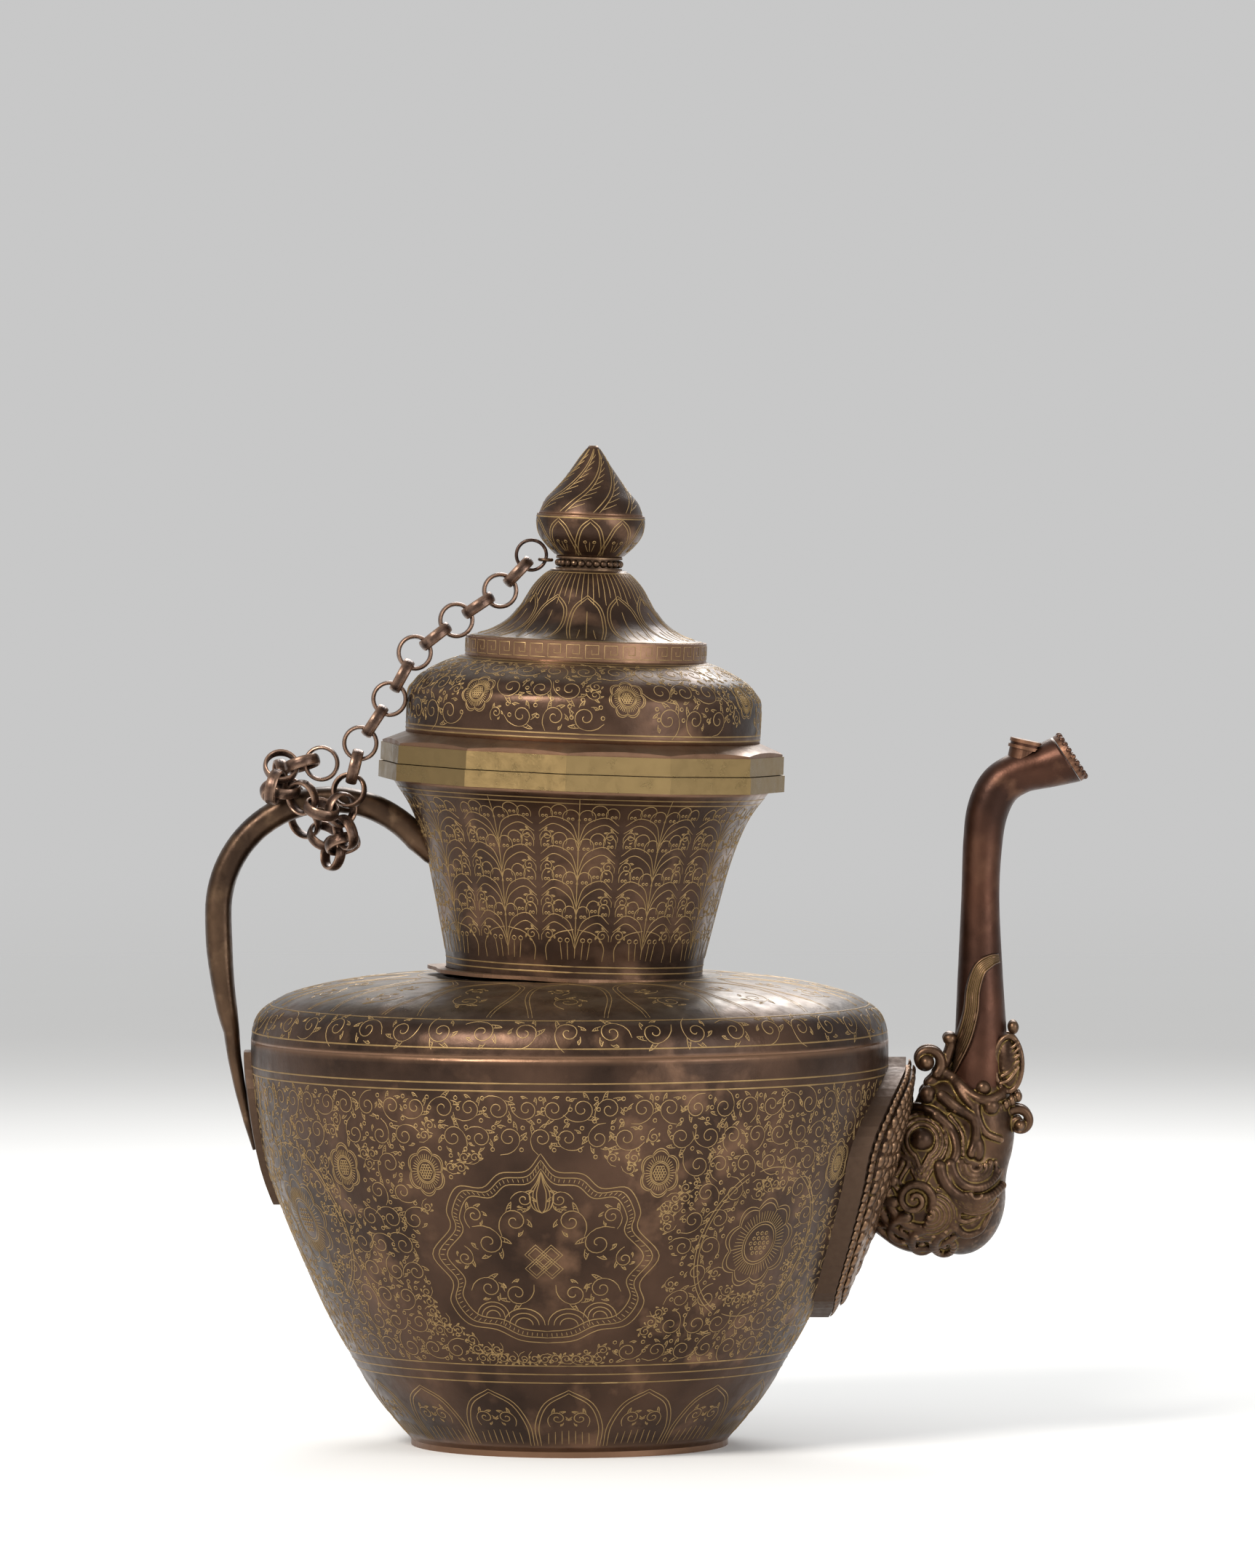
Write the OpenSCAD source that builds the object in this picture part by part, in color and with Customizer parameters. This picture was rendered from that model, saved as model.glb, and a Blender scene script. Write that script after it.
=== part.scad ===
// Engraved copper water jug with brass rims: lidded neck on a round flat-shouldered body,
// bow handle with a leaf foot, sea-monster spout on a shield, and a chain that ties the
// lid to the handle.  Millimetres.  +Z up, +X towards the spout, origin under the body.

/* [Body] */
// flat foot, radius
foot_r = 54; // [45:0.5:65]
// widest radius, just under the shoulder
belly_r = 108.5; // [95:0.5:120]
// height of the seam between bowl and shoulder
seam_z = 138; // [120:1:150]
// thickness of the copper sheet
sheet_t = 1.6; // [1:0.1:3]
// thickness of the bottom sheet
base_t = 2; // [1.2:0.1:4]

/* [Neck] */
// lean of neck and lid towards the spout, degrees
neck_lean = 2.1; // [0:0.1:4]
// offset of the neck's foot towards the spout
neck_x = 1.5; // [0:0.1:4]
// height where the neck stands on the shoulder
neck_z = 160; // [150:1:170]
// radius of the neck at its foot
neck_foot_r = 43.6; // [36:0.2:50]
// radius of the neck at the mouth
mouth_r = 64.4; // [55:0.2:70]
// height of the mouth, under the brass rim
mouth_z = 225; // [210:1:235]

/* [Rims and lid] */
// sides of the brass rims
rim_sides = 12; // [8:1:16]
// corner radius of the neck rim
neck_rim_r = 69.3; // [60:0.1:75]
// corner radius of the lid rim
lid_rim_r = 68.8; // [60:0.1:75]
// height of each brass rim
rim_h = 5.6; // [3:0.1:9]
// gap between the two rims when the lid is on
rim_gap = 0.3; // [0.2:0.05:1]
// depth of the lid's inner collar below the lid rim
plug_depth = 2.5; // [2:0.5:8]
// radius of the lid's drum
drum_r = 60.3; // [50:0.1:66]
// radius of the fretted band
band_r = 41; // [30:0.5:50]
// number of beads on the finial's collar
bead_count = 26; // [16:2:40]

/* [Handle] */
// thickness of the bow, seen from the side
bow_t = 9.2; // [6:0.1:14]
// width of the bow
bow_w = 12; // [8:0.5:20]
// largest half width of the leaf under the lower end
leaf_half_w = 14; // [8:0.5:22]

/* [Spout] */
// half width of the shield
shield_half_w = 45.5; // [30:0.5:55]
// stand-off of the shield's face from the body
shield_h = 6; // [3:0.5:10]
// distance of the tube from the jug's axis
tube_x = 140; // [130:0.5:150]
// outer radius of the tube's upper part
tube_r = 6.5; // [5:0.1:9]
// radius of the water way
bore_r = 4.6; // [3:0.1:6]
// radius of the spout's mouth
spout_mouth_r = 8.3; // [6:0.1:11]
// angle of the spout's mouth above level
spout_mouth_angle = 33; // [0:1:60]

/* [Chain] */
// mean radius of a link
link_r = 5.45; // [4:0.05:8]
// width of a link's band
link_w = 3.9; // [2:0.1:6]
// thickness of a link's band
link_t = 1.5; // [1:0.1:3]
// mean radius of the wire ring on the finial
ring_r = 5.1; // [4:0.05:8]
// wire thickness of that ring
ring_wire = 1.2; // [1:0.1:2.5]

/* [Hidden] */
$fn = 96;
// turn of the twelve-sided rims about the neck
rim_turn = neck_lean * 2;
big = 400;
bowl_outer = [[foot_r, base_t], [66, 16.6], [75, 31.4], [83.2, 46.3], [91.6, 65], [97.8, 80],
              [103, 94.6], [106.6, 112], [belly_r - 0.1, 128], [belly_r, seam_z]];
dome_outer = [[belly_r, seam_z], [107.7, 143], [105.8, 147], [102, 150.2], [94.4, 153.9],
              [78, 157.6], [60, 159.5], [neck_foot_r, neck_z]];
neck_outer = [[neck_foot_r, neck_z], [44, 166], [46.3, 177], [48.8, 188], [51.5, 199],
              [54.8, 209], [58.6, 217], [mouth_r, mouth_z]];
drum_outer = [[drum_r, 241], [drum_r, 254], [58.2, 258], [54.9, 261.4], [48, 265.2],
              [band_r, 268]];
bell_outer = [[band_r - 0.8, 274.4], [33, 276.6], [27.2, 280.2], [23.4, 284.6], [20.9, 288.4],
              [18.6, 292.2], [15.6, 295.6], [12.6, 298]];
cup_outer = [[10.9, 302.4], [14.9, 306.2], [17.6, 310], [18.5, 313.6], [18.3, 316.8]];
bud_outer = [[17.7, 316.8], [15.7, 321.4], [12.5, 325], [9.5, 328.8], [6.9, 332.4],
             [4.4, 336.2], [1.4, 340.3]];
neck_rim_top = mouth_z + rim_h;
lid_rim_z = neck_rim_top + rim_gap;
lid_rim_top = lid_rim_z + rim_h + 0.5;
drum_z = 241;
plug_r = 62.3;
rim_hole_r = plug_r + 0.6;
collar_z = 298;
collar_core_r = 10.3;
bead_r = 1.25;

// handle: two tangent arcs in the XZ plane, seen from the front
bow_arc_r = 38.5;
bow_arc_c = [-81.1, 181.3];
bow_start = 30;                   // inside the neck, which cuts it off
back_arc_r = 187;
back_arc_c = bow_arc_c + [back_arc_r - bow_arc_r, 0];
back_arc_turn = 16;
arc_lap = 0.4;                    // the lower arc starts this many degrees inside the upper
arm_slim = 0.1;                   // and is this much thinner on every side
bow_cut = 1.7;                    // corners taken off the bow's section
leaf_t = 2.4;
foot_t = 5.2;

// shield outline: half width at each height
shield_side = [[0, 43], [19.5, 50], [28, 60], [34, 70], [39, 80], [43, 90], [shield_half_w, 101],
               [42, 111], [32, 120.5], [19, 126.5], [7, 129], [0, 132]];
spout_z = 95;                     // height of the water way through the wall
elbow_z = 223.5;
mouth_c = [169.2, 233.5];

// finial ring and its eye, and the straight run of chain from the finial to the handle
eye_c = [-14.8, 300.9];           // in the lid's own upright frame
ring_tilt = 164;                  // direction from the eye to the ring's centre
run = [[-74.8, -10.7, 223.3], [-70.96, -10.57, 239.27], [-61.06, -11.05, 254.34], [-52.52, -8.88, 269.98],
       [-38.44, -6.08, 280.92], [-23.56, -3.38, 290.88], [-11.31, 0.0, 303.67]];
// links of the loop round the bow, then the loose end: centre, turn about Z, rise
loop_links = [
    [[-74.8, -10.7, 223.3], -107, 12],
    [[-77.5, -11.5, 216.7], 129, 8],
    [[-84, -16.1, 217.1], -54, 65],
    [[-90.6, -12.3, 220.8], 53, 13],
    [[-97.2, -8.5, 224.2], -69, 66],
    [[-98.5, -0.6, 227.4], 10, 2],
    [[-99.5, 6.5, 222.7], 110, 54],
    [[-94.5, 12.3, 219.2], -37, 21],
    [[-90.4, 12.6, 211.7], 56, 21],
    [[-83.6, 10.4, 206.7], -58, 48],
    [[-80.6, 4.7, 201.3], -150, 9],
    [[-77.2, -1.8, 204.7], 120, 62],
    [[-76.1, -8.6, 208.9], 28, 16],
    [[-99.9, -14.1, 224.5], 166, 12],
    [[-97.8, -10.2, 231.4], -85, 33],
    [[-90.7, -9.4, 232.3], 148, 71],
    [[-84.2, -8.2, 232.3], -96, 2]];

function last(v) = v[len(v) - 1];
function flip(v) = [for (i = [len(v) - 1:-1:0]) v[i]];
// smooth curve through a list of stations, straight at its two ends
function station(v, i) = i < 0 ? 2 * v[0] - v[1] : i >= len(v) ? 2 * last(v) - v[len(v) - 2] : v[i];
function bend(a, b, c, d, t) =
    0.5 * (2 * b + (c - a) * t + (2 * a - 5 * b + 4 * c - d) * t * t
           + (3 * b - a - 3 * c + d) * t * t * t);
function curve(v, n) = concat(
    [for (i = [0:len(v) - 2]) for (k = [0:n - 1])
        bend(station(v, i - 1), v[i], v[i + 1], station(v, i + 2), k / n)], [last(v)]);
// the same curve moved sideways by d, to its left
function side_step(v, d) = [for (i = [0:len(v) - 1])
    let (t = v[min(i + 1, len(v) - 1)] - v[max(i - 1, 0)]) v[i] + d * [-t[1], t[0]] / norm(t)];
function level_ends(v, z0, z1) = [for (i = [0:len(v) - 1])
    i == 0 ? [v[i][0], z0] : i == len(v) - 1 ? [v[i][0], z1] : v[i]];

module shell(v, t, z0, z1, n = 3) {
    outer = curve(v, n);
    rotate_extrude() polygon(concat(outer, flip(level_ends(side_step(outer, t), z0, z1))));
}
module solid_of(v, n = 3) {
    outer = curve(v, n);
    rotate_extrude() polygon(concat([[0, v[0][1]]], outer, [[0, last(v)[1]]]));
}
module ring_of(r1, r0, z0, z1) {
    translate([0, 0, z0]) difference() {
        cylinder(r = r1, h = z1 - z0);
        translate([0, 0, -1]) cylinder(r = r0, h = z1 - z0 + 2);
    }
}
module leaning() {
    translate([neck_x, 0, neck_z]) rotate([0, neck_lean, 0]) translate([0, 0, -neck_z]) children();
}
module sided(r, z0, z1) {
    translate([0, 0, z0]) rotate([0, 0, -rim_turn]) cylinder(r = r, h = z1 - z0, $fn = rim_sides);
}
// layer of the given height on the outside of the body
module body_layer(from, to) {
    outer = concat(curve(bowl_outer, 3), [for (p = curve(dome_outer, 3)) if (p[1] > seam_z) p]);
    rotate_extrude() polygon(concat(side_step(outer, -from), flip(side_step(outer, -to))));
}
module body_solid() {
    outer = concat(curve(bowl_outer, 3), [for (p = curve(dome_outer, 3)) if (p[1] > seam_z) p]);
    rotate_extrude() polygon(concat([[0, base_t]], outer, [[0, neck_z]]));
}
// outline drawn in the YZ plane and pushed along X, on the spout's or the handle's side
module along_x() {
    rotate([90, 0, 90]) linear_extrude(big) children();
}
module both_sides() {
    children();
    mirror([0, 1, 0]) children();
}

// ---------------------------------------------------------------- body
module base_plate() color("#3a2a22") cylinder(r = foot_r, h = base_t);

module body_bowl() color("#4a3328") difference() {
    shell(bowl_outer, sheet_t, base_t, seam_z);
    translate([60, 0, spout_z]) rotate([0, 90, 0]) cylinder(r = bore_r, h = 60);
}
module shoulder_dome() color("#5a4030") difference() {
    shell(dome_outer, sheet_t, seam_z, neck_z - sheet_t);
    leaning() solid_of(neck_outer);
}

// ---------------------------------------------------------------- neck
module neck() color("#4a3328") leaning() difference() {
    solid_of(neck_outer);
    neck_inside();
}
module neck_inside() {
    inner = side_step(curve(neck_outer, 3), 1.5);
    rotate_extrude() polygon(concat([[0, neck_z - 1], [inner[0][0], neck_z - 1]], inner,
                                    [[last(inner)[0], mouth_z + 1], [0, mouth_z + 1]]));
}
module neck_seam_flange() color("#57402f") difference() {
    leaning() difference() {
        translate([0, 0, neck_z + 0.02]) linear_extrude(1.2) polygon([for (a = [0:4:356])
            (49 + 1.2 * sin(7 * a) + 0.8 * sin(11 * a + 40)) * [cos(a), sin(a)]]);
        cylinder(r = neck_foot_r + 0.4, h = big);
    }
    body_solid();
}
module neck_rim() color("#9a8350") leaning() difference() {
    sided(neck_rim_r, mouth_z, neck_rim_top);
    translate([0, 0, mouth_z - 1]) cylinder(r = rim_hole_r, h = rim_h + 2);
}

// ---------------------------------------------------------------- lid
module lid_rim() color("#9a8350") leaning() difference() {
    sided(lid_rim_r, lid_rim_z, lid_rim_top);
    translate([0, 0, lid_rim_z - 1]) cylinder(r = plug_r, h = rim_h + 3);
}
module lid_plug() color("#6b4a38") leaning()
    ring_of(plug_r, plug_r - 1.5, lid_rim_z - plug_depth, lid_rim_top);

module lid_flange() color("#57402f") leaning() intersection() {
    rotate_extrude() polygon([[drum_r - 1.5, lid_rim_top], [lid_rim_r, lid_rim_top],
                              [lid_rim_r, lid_rim_top + 0.5], [drum_r, drum_z], [drum_r - 1.5, drum_z]]);
    sided(lid_rim_r - 0.5, lid_rim_top - 1, drum_z + 1);
}
module lid_drum() color("#4a3328") leaning() shell(drum_outer, 1.5, drum_z, 268 - 1.4);

module lid_key_band() color("#5a4030") leaning() ring_of(band_r, band_r - 2.4, 268, 274.4);

module lid_bell() color("#4a3328") difference() {
    leaning() shell(bell_outer, 1.5, 274.4, 298);
    lid_key_band();
}

module bead_collar() color("#6a5238") leaning() {
    translate([0, 0, collar_z]) cylinder(r = collar_core_r, h = 4.4);
    translate([0, 0, collar_z]) cylinder(r = 11.3, h = 0.7);
    translate([0, 0, collar_z + 3.7]) cylinder(r = 11.3, h = 0.7);
    for (i = [0:bead_count - 1]) rotate([0, 0, (i + 0.5) * 360 / bead_count])
        translate([collar_core_r + 0.2, 0, collar_z + 2.2]) sphere(r = bead_r, $fn = 32);
}
module finial_cup() color("#5a4030") leaning() solid_of(cup_outer);
module finial_bud() color("#5a4030") leaning() solid_of(bud_outer);

module wire_ring(r, wire) rotate_extrude() translate([r, 0]) circle(d = wire, $fn = 32);

module finial_eye() color("#8a7448") leaning()
    translate([eye_c[0], 0, eye_c[1]]) wire_ring(2.05, 1.2);

module finial_ring() color("#8a6a4a") leaning()
    translate([eye_c[0] + ring_r * cos(ring_tilt), 0, eye_c[1] + ring_r * sin(ring_tilt)])
        rotate([90, 0, 0]) wire_ring(ring_r, ring_wire);

// ---------------------------------------------------------------- handle
// the bow's section, corners taken off; slim thins it on every side
module bow_section(slim) polygon([for (q = [[1, 1], [-1, 1], [-1, -1], [1, -1]])
    let(half = [bow_t / 2 - slim, bow_w / 2 - slim],
        side = [q[0] * half[0], q[1] * (half[1] - bow_cut)],
        top = [q[0] * (half[0] - bow_cut), q[1] * half[1]])
    each q[0] * q[1] > 0 ? [side, top] : [top, side]]);

// piece of the bow: arc about a centre, from angle a0 through turn degrees
module bow_arc(c, r, a0, turn, slim = 0) translate([c[0], 0, c[1]]) rotate([90, 0, 0])
    rotate([0, 0, a0]) rotate_extrude(angle = turn) translate([r, 0]) bow_section(slim);

module handle_bow() color("#5a4034") difference() {
    union() {
        bow_arc(bow_arc_c, bow_arc_r, bow_start, 180 - bow_start);
        bow_arc(back_arc_c, back_arc_r, 180 - arc_lap, back_arc_turn + arc_lap, arm_slim);
        intersection() {
            body_layer(0, foot_t);
            rotate([0, 0, 180]) along_x() polygon(curve(
                [[-bow_w / 2, 131], [-5, 119], [-2.6, 106], [0, 98], [2.6, 106], [5, 119],
                 [bow_w / 2, 131]], 3));
        }
    }
    body_solid();
    leaning() solid_of(neck_outer);
    handle_leaf();
}
module handle_leaf() color("#5f4636") intersection() {
    body_layer(0, leaf_t);
    rotate([0, 0, 180]) along_x() polygon(curve(
        [[-7, 134], [-leaf_half_w, 122], [-leaf_half_w * 0.9, 106], [-6, 92], [0, 81.5],
         [6, 92], [leaf_half_w * 0.9, 106], [leaf_half_w, 122], [7, 134]], 4));
}

// ---------------------------------------------------------------- spout shield
module shield_outline(k = 1) {
    side = curve(shield_side, 3);
    mid_z = 92;
    polygon([for (p = concat(side, flip([for (q = side) [-q[0], q[1]]])))
        [k * p[0], mid_z + k * (p[1] - mid_z)]]);
}
module spout_plate() color("#5f4636") difference() {
    intersection() {
        body_layer(0, shield_h);
        along_x() shield_outline();
    }
    translate([60, 0, spout_z]) rotate([0, 90, 0]) cylinder(r = bore_r, h = 80);
}
module spout_plate_ornament() color("#8a6f3e") difference() {
    union() {
        intersection() {
            body_layer(shield_h, shield_h + 1.2);
            along_x() shield_outline(0.93);
        }
        intersection() {
            body_layer(shield_h, shield_h + 2.6);
            along_x() {
                difference() {
                    shield_outline(0.9);
                    shield_outline(0.78);
                }
                difference() {
                    shield_outline(0.7);
                    shield_outline(0.6);
                }
            }
        }
    }
    translate([60, 0, spout_z]) rotate([0, 90, 0]) cylinder(r = bore_r, h = 80);
}

// ---------------------------------------------------------------- sea monster
module lump(p, r) translate(p) sphere(r = r);

// flat relief on both cheeks, its outline on the XZ plane, from y0 outwards
module cheek_relief(y0, t) both_sides() translate([0, -y0, 0]) rotate([90, 0, 0])
    linear_extrude(t) children();
module disc_at(p, r) translate(p) circle(r = r);

module head_core() {
    lump([116, 0, 93], 20);
    lump([123, 0, 86], 22.5);
    lump([132, 0, 90], 19);
    lump([137, 0, 98], 14);
    lump([128, 0, 106], 15);
    lump([113, 0, 104], 12);
    lump([139, 0, 112], 11);
    translate([96, 0, 90]) rotate([0, 90, 0]) cylinder(r = 20, h = 18);
    both_sides() lump([118, 11, 100], 11);
    both_sides() lump([121, 10, 82], 12);
    translate([tube_x, 0, 111]) cylinder(r1 = 12, r2 = 10, h = 15);
}
module head_mane() both_sides() for (i = [0:3])
    lump([104.5 + 4.7 * i, 12.5 + 1.4 * i, 77.5 - 2.2 * i], 5.2);

module head_jaw() both_sides() {
    lump([124, 18.2, 79.4], 6.4);
    lump([129, 17.6, 83], 5);
}
module head_curls() cheek_relief(14, 10) difference() {
    union() {
        disc_at([119, 88.5], 5.6);
        disc_at([115.5, 84], 4.2);
    }
    disc_at([118.5, 88.5], 1.8);
}
module head_brow_scroll() cheek_relief(8, 9.2) difference() {
    disc_at([139.5, 92], 10.2);
    disc_at([138.8, 95.6], 8.6);
}
module head_lips() both_sides() {
    for (a = [20:28:160]) lump([130 + 6.6 * cos(a), 7.5, 115 + 5.4 * sin(a)], 3);
    lump([142.5, 9.4, 116.5], 2.4);
    lump([144.5, 9, 110.5], 3);
}
module water_way() {
    translate([60, 0, spout_z]) rotate([0, 90, 0]) cylinder(r = bore_r, h = tube_x - 60);
    translate([tube_x, 0, spout_z]) sphere(r = bore_r);
    translate([tube_x, 0, spout_z]) cylinder(r = bore_r, h = 60);
}
module eye_ball(r) both_sides() lump([118, 20.6, 104.5], r);

module makara_head() color("#5a3f2e") difference() {
    union() {
        head_core();
        head_mane();
        head_jaw();
        head_curls();
        head_brow_scroll();
        head_lips();
    }
    body_layer(-40, shield_h + 2.6);
    body_solid();
    water_way();
    eye_ball(4.4);
}
module makara_eyes() color("#7a5a40") eye_ball(4.4);

module makara_cheek_fins() color("#7a6038") difference() {
    cheek_relief(12, 10) polygon(curve([[107, 113], [111, 110], [113.2, 103], [112.6, 95], [108, 89],
        [104, 86], [103.6, 93], [104, 102], [107, 113]], 3));
    head_core();
    head_mane();
}
module makara_tongue() color("#8a6a48") difference() {
    cheek_relief(9, 9.5) {
        disc_at([138.3, 99.4], 6.2);
        disc_at([138.8, 106], 3);
    }
    head_core();
    head_brow_scroll();
    head_lips();
}
module makara_snout_curl() color("#7a5a40") difference() {
    translate([120.3, 0, 129]) rotate([90, 0, 0]) {
        difference() {
            translate([0, 0, -9]) cylinder(r = 5.6, h = 18);
            translate([1, 0.5, -10]) cylinder(r = 3.6, h = 20);
        }
        translate([0.5, 0.4, -8]) cylinder(r = 2.7, h = 16);
        translate([-3, -12, -6]) cube([7, 9, 12]);
        translate([2, -1, -6]) cube([14, 5.5, 12]);
    }
    head_core();
    head_lips();
    spout_plate_ornament();
    tube_outside();
    tube_bore();
}
module makara_ear_leaves() color("#8a6f3e") difference() {
    cheek_relief(1.5, 7) polygon(curve([[144.5, 138.5], [149, 143], [154, 134], [152.5, 125],
        [147, 118.5], [143.5, 123], [144, 132], [144.5, 138.5]], 3));
    head_core();
    head_lips();
    tube_outside();
}
module makara_jaw_curl() color("#7a5a40") difference() {
    translate([153.2, 0, 108.4]) rotate([90, 0, 0]) {
        difference() {
            translate([0, 0, -8]) cylinder(r = 4.8, h = 16);
            translate([0.4, 0, -9]) cylinder(r = 3, h = 18);
        }
        translate([0.2, 0, -7.4]) cylinder(r = 2.1, h = 14.8);
        translate([-7, -1.6, -6]) cube([7, 3, 12]);
    }
    head_core();
    head_lips();
}

// ---------------------------------------------------------------- spout tube
module tube_run(r_low, r, r_mouth, z_low) {
    rise = mouth_c - [tube_x, elbow_z];
    translate([tube_x, 0, 0]) rotate_extrude() polygon([[0, z_low], [r_low, z_low],
        [r_low - 1.4, 150], [r, 186], [r, elbow_z], [r * 0.85, elbow_z + r * 0.8], [0, elbow_z + r]]);
    translate([tube_x, 0, elbow_z]) rotate([0, atan2(rise[0], rise[1]), 0])
        cylinder(r1 = r - 0.3, r2 = r_mouth, h = norm(rise) + 6);
}
module past_mouth() translate([mouth_c[0], 0, mouth_c[1]]) rotate([0, 90 - spout_mouth_angle, 0])
    cylinder(r = 30, h = 30);
module tube_outside() difference() {
    tube_run(9.6, tube_r, spout_mouth_r + 1.6, 126);
    past_mouth();
}
module tube_bore() tube_run(bore_r + 1.4, bore_r, spout_mouth_r - 0.4, 120);

module spout_tube() color("#6a4636") difference() {
    tube_outside();
    tube_bore();
}
module spout_mouth_ring() color("#8a7048") translate([mouth_c[0], 0, mouth_c[1]])
    rotate([0, 90 - spout_mouth_angle, 0]) {
        difference() {
            cylinder(r = spout_mouth_r + 0.6, h = 2.2);
            translate([0, 0, -1]) cylinder(r = spout_mouth_r - 1.8, h = 5);
        }
        for (i = [0:19]) rotate([0, 0, i * 18]) translate([spout_mouth_r - 0.1, 0, 2])
            sphere(r = 1.05, $fn = 24);
    }
module spout_top_collar() color("#7a5a40") difference() {
    translate([154.6, 0, 233.4]) rotate([0, 12, 0]) {
        cylinder(r = 5.7, h = 6.2);
        translate([0, 0, 3.4]) cylinder(r = 6.3, h = 1.1);
        translate([0, 0, 5.4]) cylinder(r = 6.1, h = 1.2);
    }
    tube_outside();
}
module spout_ribbon() color("#8a7038") difference() {
    intersection() {
        tube_run(11.2, tube_r + 1.5, spout_mouth_r, 126);
        rotate([90, 0, 0]) linear_extrude(40) polygon(curve(
            [[147.6, 167.5], [141.5, 166], [136.3, 160], [134.6, 150], [133, 142], [129, 133.5],
             [133.5, 130.5], [138.6, 139], [140.3, 149], [142, 157], [147.6, 162.5], [147.6, 167.5]], 3));
    }
    tube_outside();
    tube_bore();
    head_core();
    makara_snout_curl();
}

// ---------------------------------------------------------------- chain
module link_section() polygon([for (a = [0:24:348])
    [link_r + link_t / 2 * cos(a), link_w / 2 * sign(sin(a)) * pow(abs(sin(a)), 0.9)]]);
module link_ring() rotate_extrude() link_section();
// ring whose hole points along the direction given by a turn about Z and a rise above level
module link_at(c, turn, rise) translate(c) rotate([0, 90 - rise, turn]) link_ring();
// rings in the run lie edge-on to the sides of the chain and follow its direction;
// the bands between them stand across the run
module run_ring(k) {
    ahead = (run[k + 1] - run[k]) / norm(run[k + 1] - run[k]);
    behind = (run[k] - run[k - 1]) / norm(run[k] - run[k - 1]);
    along = (ahead + behind) / norm(ahead + behind);
    hole = [0, 1, 0] - along[1] * along;
    translate(run[k]) rotate([0, acos(hole[2] / norm(hole)), atan2(hole[1], hole[0])]) link_ring();
}
module run_band(k) {
    d = run[k + 1] - run[k];
    translate((run[k] + run[k + 1]) / 2) rotate([0, -atan2(d[2], d[0]), 0]) link_ring();
}
// the run has a band, then a ring, and so on up to the finial; the loop's links follow
module run_link(i) color("#4a3630") {
    if (i % 2 == 1) run_band((i - 1) / 2);
    else run_ring(i / 2);
}
module loop_link(i) color("#4a3630")
    link_at(loop_links[i - 1][0], loop_links[i - 1][1], loop_links[i - 1][2]);

module run_link_01() run_link(1);
module run_link_02() run_link(2);
module run_link_03() run_link(3);
module run_link_04() run_link(4);
module run_link_05() run_link(5);
module run_link_06() run_link(6);
module run_link_07() run_link(7);
module run_link_08() run_link(8);
module run_link_09() run_link(9);
module run_link_10() run_link(10);
module run_link_11() run_link(11);
module loop_link_01() loop_link(1);
module loop_link_02() loop_link(2);
module loop_link_03() loop_link(3);
module loop_link_04() loop_link(4);
module loop_link_05() loop_link(5);
module loop_link_06() loop_link(6);
module loop_link_07() loop_link(7);
module loop_link_08() loop_link(8);
module loop_link_09() loop_link(9);
module loop_link_10() loop_link(10);
module loop_link_11() loop_link(11);
module loop_link_12() loop_link(12);
module loop_link_13() loop_link(13);
module loop_link_14() loop_link(14);
module loop_link_15() loop_link(15);
module loop_link_16() loop_link(16);
module loop_link_17() loop_link(17);

base_plate();
body_bowl();
shoulder_dome();
neck();
neck_seam_flange();
neck_rim();
lid_rim();
lid_plug();
lid_flange();
lid_drum();
lid_key_band();
lid_bell();
bead_collar();
finial_cup();
finial_bud();
finial_eye();
finial_ring();
handle_bow();
handle_leaf();
spout_plate();
spout_plate_ornament();
makara_head();
makara_eyes();
makara_cheek_fins();
makara_tongue();
makara_snout_curl();
makara_ear_leaves();
makara_jaw_curl();
spout_tube();
spout_mouth_ring();
spout_top_collar();
spout_ribbon();
run_link_01();
run_link_02();
run_link_03();
run_link_04();
run_link_05();
run_link_06();
run_link_07();
run_link_08();
run_link_09();
run_link_10();
run_link_11();
loop_link_01();
loop_link_02();
loop_link_03();
loop_link_04();
loop_link_05();
loop_link_06();
loop_link_07();
loop_link_08();
loop_link_09();
loop_link_10();
loop_link_11();
loop_link_12();
loop_link_13();
loop_link_14();
loop_link_15();
loop_link_16();
loop_link_17();
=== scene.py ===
import math
import bpy
import numpy as np
import openvdb
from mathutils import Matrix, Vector


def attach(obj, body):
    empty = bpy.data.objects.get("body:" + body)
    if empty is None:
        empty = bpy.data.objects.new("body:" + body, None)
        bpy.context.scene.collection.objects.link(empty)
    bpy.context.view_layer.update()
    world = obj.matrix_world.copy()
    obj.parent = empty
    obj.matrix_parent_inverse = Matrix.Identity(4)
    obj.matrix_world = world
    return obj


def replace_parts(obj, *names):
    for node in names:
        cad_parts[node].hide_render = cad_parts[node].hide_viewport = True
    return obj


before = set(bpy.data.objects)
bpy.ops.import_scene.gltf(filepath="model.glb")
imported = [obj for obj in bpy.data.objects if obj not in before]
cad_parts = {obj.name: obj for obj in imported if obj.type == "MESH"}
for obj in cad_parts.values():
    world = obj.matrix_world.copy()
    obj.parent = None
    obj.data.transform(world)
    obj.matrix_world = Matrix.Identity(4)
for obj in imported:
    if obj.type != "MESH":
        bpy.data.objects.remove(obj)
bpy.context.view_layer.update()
MM = 0.001
TURN = 2 * math.pi
CAMERA_FAR = 4.0          # metres from the jug
CAMERA_RISE = math.radians(2.2)
FLOOR_R = 4.6
FADE_START, FADE_END = 0.9, 4.4
rng = np.random.default_rng(7)

# ------------------------------------------------------------------ camera, light, floor
def look_at(o, target):
    o.rotation_euler = (Vector(target) - o.location).to_track_quat("-Z", "Y").to_euler()

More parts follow.
